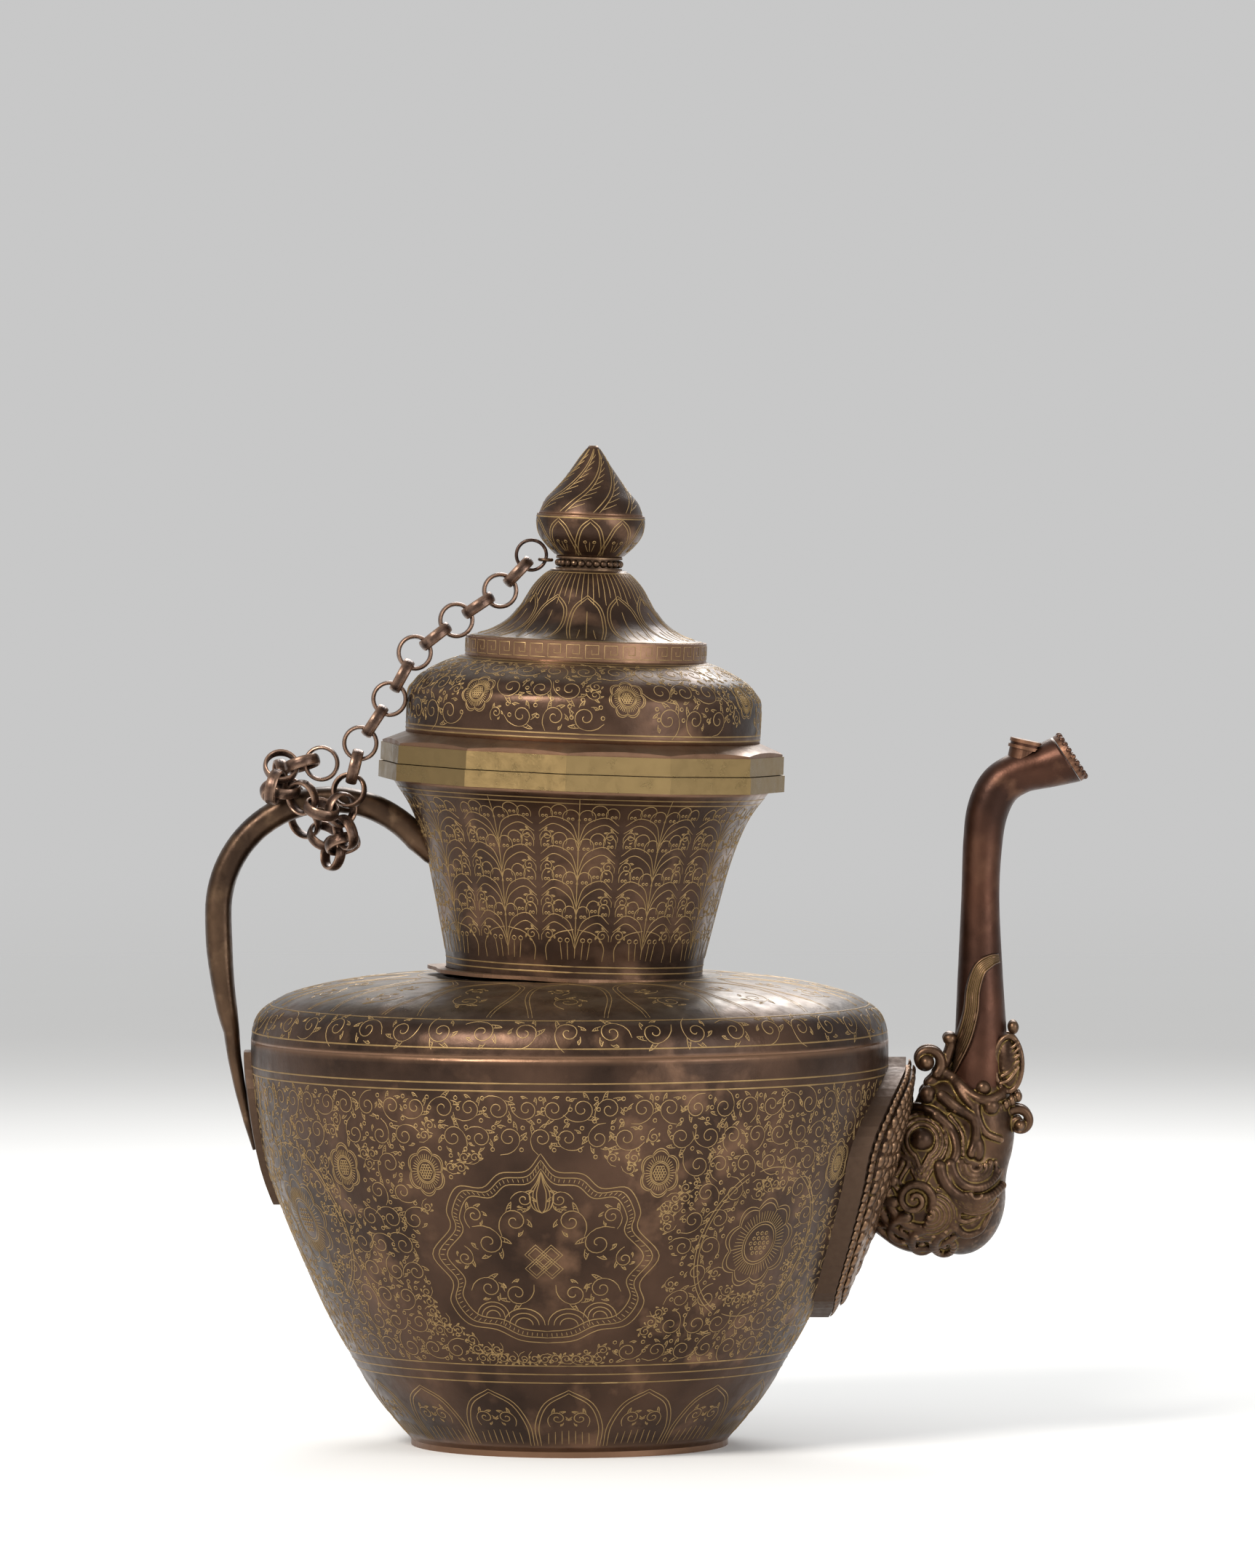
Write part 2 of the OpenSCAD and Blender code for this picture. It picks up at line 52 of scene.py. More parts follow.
AIM = (0.0197, 0.0, 0.225)
cam_data = bpy.data.cameras.new("camera")
cam_data.sensor_fit = "VERTICAL"
cam_data.sensor_height = 36
cam_data.lens = 270
cam_data.clip_end = 50
cam = bpy.data.objects.new("camera", cam_data)
bpy.context.collection.objects.link(cam)
cam.location = (AIM[0], -CAMERA_FAR, AIM[2] + CAMERA_FAR * math.tan(CAMERA_RISE))
look_at(cam, AIM)
bpy.context.scene.camera = cam

def area_light(name, place, size, power, tint=(1, 1, 1)):
    data = bpy.data.lights.new(name, "AREA")
    data.shape, data.size, data.energy, data.color = "DISK", size, power, tint
    o = bpy.data.objects.new(name, data)
    bpy.context.collection.objects.link(o)
    o.location = place
    look_at(o, (0, 0, 0.17))

area_light("key", (-0.9, -1.3, 1.3), 0.8, 42, (1.0, 0.96, 0.91))
area_light("fill", (1.3, -1.1, 0.6), 1.1, 13, (0.95, 0.97, 1.0))
area_light("back", (0.2, 1.3, 1.2), 0.9, 16)
world = bpy.data.worlds.new("studio")
world.use_nodes = True
world.node_tree.nodes["Background"].inputs["Color"].default_value = (0.93, 0.93, 0.93, 1)
world.node_tree.nodes["Background"].inputs["Strength"].default_value = 0.62
bpy.context.scene.world = world
bpy.context.scene.view_settings.view_transform = "Standard"

# ------------------------------------------------------------------ materials
class Shader:
    """A principled material with helpers for procedural nodes."""
    def __init__(self, name, metallic, roughness):
        self.mat = bpy.data.materials.new(name)
        self.mat.use_nodes = True
        self.tree = self.mat.node_tree
        self.bsdf = self.tree.nodes["Principled BSDF"]
        self.bsdf.inputs["Metallic"].default_value = metallic
        self.bsdf.inputs["Roughness"].default_value = roughness
        self.geo = self.tree.nodes.new("ShaderNodeNewGeometry")
        self.coord = self.tree.nodes.new("ShaderNodeTexCoord").outputs["Object"]

    def link(self, a, b):
        self.tree.links.new(a, b)

    def noise(self, scale, detail=4.0, stretch=None):
        n = self.tree.nodes.new("ShaderNodeTexNoise")
        n.inputs["Scale"].default_value = scale
        n.inputs["Detail"].default_value = detail
        source = self.coord
        if stretch:
            m = self.tree.nodes.new("ShaderNodeMapping")
            m.inputs["Scale"].default_value = stretch
            self.link(source, m.inputs["Vector"])
            source = m.outputs["Vector"]
        self.link(source, n.inputs["Vector"])
        return n.outputs["Fac"]

    def between(self, value, lo, hi, out_lo=0.0, out_hi=1.0):
        n = self.tree.nodes.new("ShaderNodeMapRange")
        for key, v in (("From Min", lo), ("From Max", hi), ("To Min", out_lo), ("To Max", out_hi)):
            n.inputs[key].default_value = v
        self.link(value, n.inputs["Value"])
        return n.outputs["Result"]

    def times(self, a, b):
        n = self.tree.nodes.new("ShaderNodeMath")
        n.operation = "MULTIPLY"
        self.link(a, n.inputs[0])
        self.link(b, n.inputs[1])
        return n.outputs[0]

    def mix(self, fac, a, b):
        n = self.tree.nodes.new("ShaderNodeMix")
        n.data_type = "RGBA"
        self.link(fac, n.inputs["Factor"])
        for key, v in ((6, a), (7, b)):
            if isinstance(v, tuple):
                n.inputs[key].default_value = (*v, 1)
            else:
                self.link(v, n.inputs[key])
        return n.outputs[2]

    def colour(self, c):
        self.link(c, self.bsdf.inputs["Base Color"])

    def rough(self, value):
        self.link(value, self.bsdf.inputs["Roughness"])

    def bump(self, height, strength, distance):
        n = self.tree.nodes.new("ShaderNodeBump")
        n.inputs["Strength"].default_value = strength
        n.inputs["Distance"].default_value = distance
        self.link(height, n.inputs["Height"])
        last = self.bsdf.inputs["Normal"].links
        if last:
            self.link(last[0].from_socket, n.inputs["Normal"])
        self.link(n.outputs["Normal"], self.bsdf.inputs["Normal"])

    def edges(self, lo=0.51, hi=0.56):
        return self.between(self.geo.outputs["Pointiness"], lo, hi)

    def facing_up(self, lo=0.75, hi=0.98):
        n = self.tree.nodes.new("ShaderNodeSeparateXYZ")
        self.link(self.geo.outputs["Normal"], n.inputs["Vector"])
        return self.between(n.outputs["Z"], lo, hi)

def metal(name, dark, mid, worn, rough_lo, rough_hi, metallic=0.85, dust=0.0, patch=30,
          brushed=None, edge=(0.51, 0.57), dents=0.5, recess=None):
    s = Shader(name, metallic, 0.5)
    base = s.mix(s.between(s.noise(patch, 6), 0.36, 0.66), dark, mid)
    rub = s.times(s.between(s.noise(patch * 2.3, 8), 0.54, 0.72), s.between(s.noise(11, 2), 0.35, 0.65))
    base = s.mix(rub, base, worn)
    base = s.mix(s.edges(*edge), base, worn)
    if recess:
        base = s.mix(s.between(s.geo.outputs["Pointiness"], 0.495, 0.465), base, recess)
    if dust:
        lying = s.times(s.facing_up(), s.between(s.noise(120, 8), 0.36, 0.62, 0.25 * dust, dust))
        base = s.mix(lying, base, (0.20, 0.160, 0.112))
    s.colour(base)
    s.rough(s.between(s.noise(patch * 6, 6), 0.3, 0.7, rough_lo, rough_hi))
    s.bump(s.noise(95, 3), dents, 0.0006)
    s.bump(s.noise(1400, 6, brushed), 0.25, 0.00012)
    return s.mat

M = {
    "copper": metal("dark_copper", (0.032, 0.018, 0.012), (0.080, 0.044, 0.028), (0.19, 0.105, 0.062),
                    0.27, 0.47, dust=0.5),
    "bronze": metal("brown_bronze", (0.036, 0.020, 0.012), (0.090, 0.052, 0.030), (0.21, 0.130, 0.074),
                    0.28, 0.48, patch=60, edge=(0.53, 0.60)),
    "tube": metal("red_copper", (0.032, 0.014, 0.009), (0.082, 0.034, 0.020), (0.18, 0.090, 0.052),
                  0.30, 0.50, dust=0.4),
    "line": metal("ochre_line", (0.115, 0.068, 0.025), (0.225, 0.142, 0.054), (0.36, 0.238, 0.10),
                  0.38, 0.58, metallic=0.65, patch=70, dents=0.1),
    "brass": metal("satin_brass", (0.052, 0.032, 0.013), (0.110, 0.072, 0.029), (0.25, 0.172, 0.076),
                   0.24, 0.42, metallic=1.0, patch=38, brushed=(1, 1, 14), dents=0.25),
    "gilt": metal("worn_gilt", (0.034, 0.018, 0.011), (0.086, 0.046, 0.026), (0.24, 0.140, 0.078),
                  0.27, 0.50, patch=110, edge=(0.515, 0.56), dents=0.7, recess=(0.125, 0.080, 0.023)),
    # plate: a darker copy of the copper, painted shade for the spout shield and the handle's leaf
    "plate": metal("painted_shade_plate", (0.014, 0.009, 0.007), (0.036, 0.021, 0.014), (0.085, 0.052, 0.034),
                   0.46, 0.64, patch=70, dents=0.8),
    "chain": metal("rubbed_chain", (0.030, 0.018, 0.014), (0.078, 0.043, 0.031), (0.24, 0.15, 0.105),
                   0.24, 0.44, patch=160, edge=(0.51, 0.55)),
}

# plain pale floor, seen from every side, that fades into the studio's grey
floor_mesh = bpy.data.meshes.new("floor")
floor_mesh.from_pydata([(FLOOR_R * math.cos(t), FLOOR_R * math.sin(t), 0)
                        for t in np.linspace(0, TURN, 96, endpoint=False)], [], [tuple(range(96))])
floor = bpy.data.objects.new("floor", floor_mesh)
bpy.context.collection.objects.link(floor)
paper = Shader("paper", 0.0, 0.9)
paper.colour(paper.mix(paper.noise(3), (0.80, 0.80, 0.79), (0.84, 0.84, 0.83)))
reach, fade = (paper.tree.nodes.new("ShaderNode" + kind) for kind in ("VectorMath", "MapRange"))
reach.operation = "LENGTH"
fade.interpolation_type = "SMOOTHSTEP"
for socket, value in (("From Min", FADE_START), ("From Max", FADE_END), ("To Min", 1.0), ("To Max", 0.0)):
    fade.inputs[socket].default_value = value
paper.link(paper.coord, reach.inputs[0])
paper.link(reach.outputs["Value"], fade.inputs["Value"])
paper.link(fade.outputs["Result"], paper.bsdf.inputs["Alpha"])
floor_mesh.materials.append(paper.mat)

# ------------------------------------------------------------------ surfaces of revolution
def curve(points, n=6):
    """Smooth line through the points, with n steps between neighbours."""
    p = [np.array(q, float) for q in points]
    p = [2 * p[0] - p[1]] + p + [2 * p[-1] - p[-2]]
    out = []
    for a, b, c, d in zip(p, p[1:], p[2:], p[3:]):
        for k in range(n):
            t = k / n
            out.append(0.5 * (2 * b + (c - a) * t + (2 * a - 5 * b + 4 * c - d) * t * t
                              + (3 * b - a - 3 * c + d) * t ** 3))
    return np.array(out + [p[-2]])

# the neck and lid lean from the middle of the shoulder
LEAN = math.radians(2.1)
NECK_X, NECK_Z = 1.5, 160
FLUTES = 12
def lean(v):
    x, z = v[:, 0], v[:, 2] - NECK_Z
    return np.stack([NECK_X + x * math.cos(LEAN) + z * math.sin(LEAN), v[:, 1],
                     NECK_Z - x * math.sin(LEAN) + z * math.cos(LEAN)], 1)

def wrap(a):
    """The same angle, between minus and plus half a turn."""
    return (a + math.pi) % TURN - math.pi

def add_mesh(name, verts, faces, material, body):
    """A smooth-shaded piece from points in mm, riding on a body."""
    mesh = bpy.data.meshes.new(name)
    mesh.from_pydata((np.asarray(verts) * MM).tolist(), [], faces)
    mesh.polygons.foreach_set("use_smooth", [True] * len(mesh.polygons))
    mesh.materials.append(M[material])
    o = bpy.data.objects.new(name, mesh)
    bpy.context.collection.objects.link(o)
    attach(o, body)
    return o

class Surface:
    """A turned surface. A point is (angle from the front, length along the profile in mm)."""
    def __init__(self, profile, leaning=False, flute=0.0):
        self.p, self.leaning, self.flute = np.asarray(profile, float), leaning, flute
        self.s = np.concatenate([[0], np.cumsum(np.linalg.norm(np.diff(self.p, axis=0), axis=1))])
        t = np.gradient(self.p, self.s, axis=0)
        self.n = np.stack([t[:, 1], -t[:, 0]], 1) / np.linalg.norm(t, axis=1)[:, None]
        self.length = self.s[-1]

    def at(self, v, table):
        return np.interp(v, self.s, table)

    def radius(self, v):
        return self.at(v, self.p[:, 0])

    def v_of_z(self, z):
        return float(np.interp(z, self.p[:, 1], self.s))

    def place(self, a, v, off=0.0):
        r = self.radius(v) + off * self.at(v, self.n[:, 0]) + self.flute * (np.cos(FLUTES * a) - 1)
        z = self.at(v, self.p[:, 1]) + off * self.at(v, self.n[:, 1])
        out = np.stack([r * np.sin(a), -r * np.cos(a), z], 1)
        return lean(out) if self.leaning else out

    def skin(self, name, thickness, body, node, sides=240):
        """A wall of this profile that stands for a CAD node."""
        outer = self.p
        inner = (self.p - thickness * self.n)[::-1]
        ring = np.vstack([outer, inner])
        ring[:, 0] = np.maximum(ring[:, 0], 0.01)
        a = np.linspace(0, TURN, sides, endpoint=False)
        m = len(ring)
        r = ring[:, 0] + self.flute * (np.cos(FLUTES * a) - 1)[:, None]
        v = np.stack([np.sin(a)[:, None] * r, -np.cos(a)[:, None] * r,
                      np.tile(ring[:, 1], (sides, 1))], 2).reshape(-1, 3)
        faces = [(i * m + k, ((i + 1) % sides) * m + k, ((i + 1) % sides) * m + (k + 1) % m,
                  i * m + (k + 1) % m) for i in range(sides) for k in range(m)]
        o = add_mesh(name, lean(v) if self.leaning else v, faces, "copper", body)
        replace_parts(o, node)

bowl = Surface(curve([[54, 2], [66, 16.6], [75, 31.4], [83.2, 46.3], [91.6, 65], [97.8, 80],
                      [103, 94.6], [106.6, 112], [108.4, 128], [108.5, 138]]))
dome = Surface(curve([[108.5, 138], [107.7, 143], [105.8, 147], [102, 150.2], [94.4, 153.9],
                      [78, 157.6], [60, 159.5], [43.6, 160]]))
neck = Surface(curve([[43.6, 160], [44, 166], [46.3, 177], [48.8, 188], [51.5, 199], [54.8, 209],
                      [58.6, 217], [64.4, 225]]), True, 0.28)
drum = Surface(curve([[60.3, 241], [60.3, 254], [58.2, 258], [54.9, 261.4], [48, 265.2], [41, 268]]), True)
band = Surface([[41, 268], [41, 274.4]], True)
bell = Surface(curve([[40.2, 274.4], [33, 276.6], [27.2, 280.2], [23.4, 284.6], [20.9, 288.4],
                      [18.6, 292.2], [15.6, 295.6], [12.6, 298]]), True)
cup = Surface(curve([[10.9, 302.4], [14.9, 306.2], [17.6, 310], [18.5, 313.6], [18.3, 316.8]]), True)
bud = Surface(curve([[17.7, 316.8], [15.7, 321.4], [12.5, 325], [9.5, 328.8], [6.9, 332.4],
                     [4.4, 336.2], [1.4, 340.3]]), True)

# ------------------------------------------------------------------ engraving
FINE = 0.82               # how fine the lines are cut, of the width asked for
LONGEST_STEP = 1.2        # mm between points of a line, so that it follows the surface
MARGIN = 0.4              # mm kept free at a surface's two ends
CROWN = ((-1, 0.03), (0, 0.13), (1, 0.03))

class Pen:
    """Draws raised ochre lines on a turned surface as narrow crowned ribbons."""
    def __init__(self, surface, width):
        self.surface, self.width, self.v, self.f, self.n = surface, width * FINE, [], [], 0

    def stroke(self, pts, centre, scale=1.0, turn=0.0, flip=1, width=None):
        p = np.asarray(pts, float) * scale * [flip, 1]
        if len(p) < 5:
            far = np.concatenate([[0], np.cumsum(np.linalg.norm(np.diff(p, axis=0), axis=1))])
            to = np.linspace(0, far[-1], max(3, int(far[-1] / LONGEST_STEP) + 1))
            p = np.stack([np.interp(to, far, p[:, 0]), np.interp(to, far, p[:, 1])], 1)
        c, s = math.cos(turn), math.sin(turn)
        p = np.stack([p[:, 0] * c - p[:, 1] * s, p[:, 0] * s + p[:, 1] * c], 1)
        v = p[:, 1] + centre[1]
        a = centre[0] + p[:, 0] / np.maximum(self.surface.radius(np.clip(v, 0, self.surface.length)), 3)
        self.line(a, v, width)

    def line(self, a, v, width=None):
        keep = (v > MARGIN) & (v < self.surface.length - MARGIN)
        if keep.sum() < 2:
            return
        runs = np.split(np.arange(len(v)), np.where(np.diff(keep.astype(int)) != 0)[0] + 1)
        for run in runs:
            if keep[run[0]] and len(run) > 1:
                self.ribbon(a[run], v[run], width or self.width)

    def ribbon(self, a, v, w):
        r = self.surface.radius(v)
        t = np.stack([np.gradient(a) * r, np.gradient(v)], 1)
        t /= np.maximum(np.linalg.norm(t, axis=1), 1e-6)[:, None]
        taper = np.minimum(1, 0.45 + 0.25 * np.minimum(np.arange(len(v)), np.arange(len(v))[::-1]))
        side = np.stack([-t[:, 1], t[:, 0]], 1) * (w / 2 * taper)[:, None]
        rows = [self.surface.place(a + k * side[:, 0] / r, v + k * side[:, 1], off)
                for k, off in CROWN]
        n = len(v)
        self.v.append(np.vstack(rows))
        for j in (0, 1):
            self.f += [(self.n + j * n + i, self.n + j * n + i + 1, self.n + (j + 1) * n + i + 1,
                        self.n + (j + 1) * n + i) for i in range(n - 1)]
        self.n += 3 * n

    def done(self, name, body):
        return add_mesh(name, np.vstack(self.v), self.f, "line", body)

def arc(cx, cy, rx, ry, a0, a1, n=14):
    t = np.radians(np.linspace(a0, a1, n))
    return np.stack([cx + rx * np.cos(t), cy + ry * np.sin(t)], 1)

def spiral(r, turns, n=22):
    t = np.linspace(0, 1, n)
    a = t * turns * 2 * math.pi
    return np.stack([r * (1 - 0.86 * t) * np.cos(a), r * (1 - 0.86 * t) * np.sin(a)], 1)

def ringlet(pen, at, r):
    pen.stroke(arc(0, 0, r, r, 0, 360, 9), at, width=0.36)

def scroll(pen, at, size, turn, flip=1):
    """A curling stem with comma leaves on its back and hatching inside them."""
    pen.stroke(spiral(1, 1.35), at, size, turn, flip)
    pen.stroke(np.array([[1, 0], [1.02, -0.5], [0.8, -1.1], [0.3, -1.6]]), at, size, turn, flip)
    for k, a in enumerate((25, 80, 140, 200)):
        q = math.radians(a)
        tip = 1.62 - 0.1 * k
        root, end = np.array([math.cos(q), math.sin(q)]), np.array([math.cos(q + 0.42), math.sin(q + 0.42)])
        top = tip * np.array([math.cos(q + 0.55), math.sin(q + 0.55)])
        pen.stroke(curve([root, (root + top) / 2 * 1.09, top], 4), at, size, turn, flip)
        pen.stroke(curve([top, (end + top) / 2 * 0.99, end], 4), at, size, turn, flip)
        for f in (0.35, 0.65):
            pen.stroke(np.array([root + f * (top - root) * 0.9, end + f * (top - end) * 0.75]), at, size,
                       turn, flip, 0.3)

def blossom(pen, at, rx, ry, petals=9):
    """A big flower: scalloped petals, hatched, round an oval pod of dotted seeds."""
    for k in range(petals):
        a0, a1 = (2 * math.pi * (k + d) / petals + math.pi / 2 for d in (-0.5, 0.5))
        t = np.linspace(a0, a1, 12)
        u = (t - a0) / (a1 - a0)
        for grow, dip in ((1.0, 0.17), (0.9, 0.14)):
            m = grow * (1 - dip + dip * np.sin(math.pi * u))
            pen.stroke(np.stack([rx * m * np.cos(t), ry * m * np.sin(t)], 1), at)
        for a in np.linspace(a0, a1, 7)[:-1]:
            far = 0.80 if a == a0 else 0.72
            pen.stroke(np.outer([0.50, (0.5 + far) / 2, far], [rx * math.cos(a), ry * math.sin(a)]), at,
                       width=0.32)
    for f in (0.48, 0.42):
        pen.stroke(arc(0, 0, rx * f, ry * f, 0, 360, 30), at)
    for k in range(-3, 4):
        for j in range(-3, 4):
            q = np.array([(k + 0.5 * (j % 2)) * rx * 0.13, j * ry * 0.11])
            if (q[0] / rx) ** 2 + (q[1] / ry) ** 2 < 0.11:
                ringlet(pen, (at[0] + q[0] / pen.surface.radius(at[1]), at[1] + q[1]), 0.55)

def fill(pen, v0, v1, gap, size, blocked):
    """Rows of scrolls wherever nothing larger stands, with ringlets and small scrolls in the gaps."""
    spots = []
    rows = max(1, round((v1 - v0) / gap))
    step_v = (v1 - v0) / rows
    for j in range(rows):
        v = v0 + (j + 0.5) * step_v
        count = int(2 * math.pi * pen.surface.radius(v) / gap)
        for i in range(count):
            a = 2 * math.pi * (i + 0.5 * (j % 2)) / count
            a = wrap(a + rng.uniform(-0.1, 0.1) * gap / pen.surface.radius(v))
            if not blocked(a, v, size * 1.25):
                scroll(pen, (a, v), size * rng.uniform(0.9, 1.08), rng.uniform(0, 6.28),
                       1 if (i + j) % 2 else -1)
                spots.append((a, v, size * 1.45))
            for da, dv in ((0.5, 0.36), (0.44, -0.4), (0.58, 0.0)):
                b = (a + da * gap / pen.surface.radius(v), v + dv * step_v)
                if not blocked(b[0], b[1], 1.4):
                    ringlet(pen, b, 0.62)
    small = size * 0.5
    for v in np.arange(v0 + small, v1, small * 1.9):
        for a in np.arange(-math.pi, math.pi, small * 1.9 / pen.surface.radius(v)):
            if blocked(a, v, small * 1.2):
                continue
            reach = pen.surface.radius(v)
            if all(math.hypot(wrap(a - b) * reach, v - w) > r + small * 0.9
                   for b, w, r in spots if abs(w - v) < r + small):
                scroll(pen, (a, v), small, rng.uniform(0, 6.28), 1 if rng.random() < 0.5 else -1)

def ring_line(pen, v):
    a = np.linspace(0, 2 * math.pi, 300)
    pen.line(a, np.full(300, v), 0.5)

def petal_row(pen, count, v0, height, inner, fill_share=0.9):
    """A row of pointed petals; gives each one's angle and half width for what is drawn inside it."""
    for k in range(count):
        a = 2 * math.pi * k / count
        half = fill_share * math.pi * pen.surface.radius(v0 + height * 0.5) / count
        for inset in inner:
            w, h = half - inset, height - inset
            for flip in (-1, 1):
                pen.stroke(curve([[w * 0.92, 0], [w, h * 0.4], [w * 0.72, h * 0.78], [0, h]], 5),
                           (a, v0), flip=flip)
        yield a, half

# body: lappets at the foot, the wide register, and the band at the shoulder's turn
pen = Pen(bowl, 0.42)
v27, v33, v127 = bowl.v_of_z(27), bowl.v_of_z(33), bowl.v_of_z(127)
for z in (27, 30, 33):
    ring_line(pen, bowl.v_of_z(z))
for a, half in petal_row(pen, 16, 3, v27 - 6, (0, 1.3)):
    for x in np.linspace(-0.6, 0.6, 7):
        pen.stroke([[x * half, 1.0], [x * half, 5.5 + 2 * math.cos(x * 2)]], (a, 3), width=0.32)
    for flip in (-1, 1):
        scroll(pen, (a + flip * half * 0.34 / bowl.radius(16), 3 + (v27 - 6) * 0.52), half * 0.25,
               0.4 * flip, flip)
for z in (127, 129.6):
    ring_line(pen, bowl.v_of_z(z))
mid = (v33 + v127) / 2
low = bowl.v_of_z(73)
large = [(math.radians(d), low + dv, 15, 16.5) for d, dv in ((-65, 7), (42, 1), (138, 1), (-138, 7))]
flowers = large + [(math.radians(d), low + 28, 7, 8.5) for d in (-27, 17, -46, 60, 153, -153, 120, -118)]
MEDALLION_A = -0.087      # a little to the handle's side of the front
medallions = [(MEDALLION_A, low - 2), (MEDALLION_A + math.pi, low - 2)]

def taken(a, v, margin):
    """True where a flower, a medallion or the edge of the register stands."""
    for fa, fv, rx, ry in flowers:
        d = wrap(a - fa)
        if (d * bowl.radius(v) / (rx + margin)) ** 2 + ((v - fv) / (ry + margin)) ** 2 < 1:
            return True
    for ma, mv in medallions:
        d = wrap(a - ma)
        if (abs(d) * bowl.radius(v) / (41 + margin)) ** 2.2 + (abs(v - mv) / (36 + margin)) ** 2.2 < 1:
            return True
    return not v33 + margin * 0.6 < v < v127 - margin * 0.6

for fa, fv, rx, ry in flowers:
    blossom(pen, (fa, fv), rx, ry, 9 if rx > 10 else 6)
for fa, fv, rx, ry in large:
    for flip in (-1, 1):
        for grow in (1.0, 1.05):
            pen.stroke(arc(0, 0, (rx + 9) * grow, (ry + 11) * grow, -62, 62, 30), (fa, fv), flip=flip)
    for q in (-1, 1):
        pen.stroke(arc(0, 0, rx + 9, ry + 11, 72 * q, 108 * q, 16), (fa, fv))
pen.done("bowl_flowers", "pot")
pen = Pen(bowl, 0.36)
fill(pen, v33 + 1, v127 - 1, 9.6, 3.75, taken)
pen.done("bowl_engraving", "pot")

# scalloped medallion with an endless knot, front and back
pen = Pen(bowl, 0.42)
edge = [[0, 37], [5, 31], [14, 30], [20, 25], [29, 25], [33, 17], [32, 10], [39, 0], [32, -10],
        [33, -18], [27, -26], [17, -28], [9, -32], [0, -33]]
knot = [[-6, 0], [0, 6], [6, 0], [0, -6], [-6, 0]]
for at in medallions:
    for flip in (-1, 1):
        for grow in (1, 0.94, 0.86):
            pen.stroke(curve(edge, 6) * grow, at, flip=flip)
        border = curve(edge, 5)
        for q in border:
            pen.stroke([q * 0.885, q * 0.925], at, flip=flip, width=0.32)
        for (x, y), s, turn in (((9, 13), 4.4, 0.5), ((18, 5), 4.8, 2.2), ((10, -14), 4.2, 4.0),
                                ((20, -12), 4.0, 1.2), ((22, 15), 3.2, 0.2), ((5.5, 21), 2.8, 1.4),
                                ((27, -1), 2.8, 3.0)):
            scroll(pen, (at[0] + flip * x / bowl.radius(at[1]), at[1] + y), s, turn * flip, flip)
        for r in (3, 5, 7):
            pen.stroke(arc(7.5, -26, r, r * 0.9, 0, 180, 14), at, flip=flip)
            pen.stroke(arc(18, -23, r * 0.8, r * 0.8, 0, 180, 14), at, flip=flip)
    for dx, dy in ((0, 0), (2.6, 2.6), (-2.6, 2.6), (2.6, -2.6), (-2.6, -2.6)):
        pen.stroke(np.array(knot) * 0.62 + [dx, dy - 2], at)
        pen.stroke(np.array(knot) * 0.42 + [dx, dy - 2], at, width=0.35)
    for s in (1, 0.7, 0.4):
        for flip in (-1, 1):
            pen.stroke(curve([[0, 31], [1.6, 27], [4, 23], [3, 18], [0, 16]], 5) * [s, 1], at, flip=flip)
pen.done("medallion_engraving", "pot")

# shoulder: a border of scrolls, then petals up to the neck
pen = Pen(dome, 0.4)
edge_v, top_v = 14.5, dome.length - 8
for v in (3.2, edge_v, top_v):
    ring_line(pen, v)
for k, (a, half) in enumerate(petal_row(pen, 16, edge_v + 1.5, top_v - edge_v - 4, (0, 1.4), 0.94)):
    scroll(pen, (a, edge_v + 15), 4.6, 1.5 * k, 1 if k % 2 else -1)
    scroll(pen, (a - 3 / 80, edge_v + 29), 3.0, 2.1 * k, -1 if k % 2 else 1)
for k in range(46):
    scroll(pen, (2 * math.pi * k / 46, 8.9), 4.3, 1.1 * k, 1 if k % 2 else -1)
pen.done("shoulder_engraving", "pot")

# neck: twelve stems, each with four tiers of lobed leaves
pen = Pen(neck, 0.38)
for v in (3, 5, neck.length - 3.4, neck.length - 5.4):
    ring_line(pen, v)
for k in range(FLUTES):
    a = 2 * math.pi * k / FLUTES
    pen.stroke([[0, 2], [0, 30], [0, neck.length - 9]], (a, 6))
    for j, v in enumerate((19, 31, 43, 54)):
        w = math.pi * neck.radius(v) / FLUTES * 0.95
        for flip in (-1, 1):
            under = curve([[0, -8], [w * 0.18, -2], [w * 0.62, 1.4], [w * 0.98, -1.6]], 6)
            upper = curve([[0, -5.4], [w * 0.2, 1.6], [w * 0.66, 4.2], [w * 0.98, 1.2]], 6)
            pen.stroke(under, (a, v), flip=flip)
            pen.stroke(upper, (a, v), flip=flip, width=0.3)
            scroll(pen, (a + flip * w * 0.80 / neck.radius(v), v - 3.0), 1.9, 0.7 * flip, flip)
            for x, y, r in ((0.2, 4.2, 0.20), (0.5, 6.3, 0.20), (0.82, 5.2, 0.17)):
                pen.stroke(arc(w * x, y, w * r, 2.9, -30, 210, 12), (a, v), flip=flip)
                for q in (0.25, 0.75):
                    seed_a = a + flip * w * (x + (q - 0.5) * r) / neck.radius(v)
                    ringlet(pen, (seed_a, v + y - 0.8), 0.42)
    for flip in (-1, 1):
        pen.stroke(curve([[9.4, 0], [9.8, 5], [6.4, 9.4], [0.6, 11]], 5), (a, 7), flip=flip)
    for x in (-5, -2.6, 2.6, 5):
        pen.stroke([[x * 0.85, 0.5], [x, 6.4]], (a, 7), width=0.32)
        ringlet(pen, (a + x / neck.radius(14), 14.2), 0.7)
pen.done("neck_engraving", "pot")

# lid's drum: seven blossoms among scrolls
pen = Pen(drum, 0.36)
for v in (1.4, 3.0, drum.length - 2, drum.length - 4):
    ring_line(pen, v)
blooms = [(2 * math.pi * k / 7 + 0.25, drum.length * 0.42) for k in range(7)]
for at in blooms:
    blossom(pen, at, 6.4, 7.2, 7)

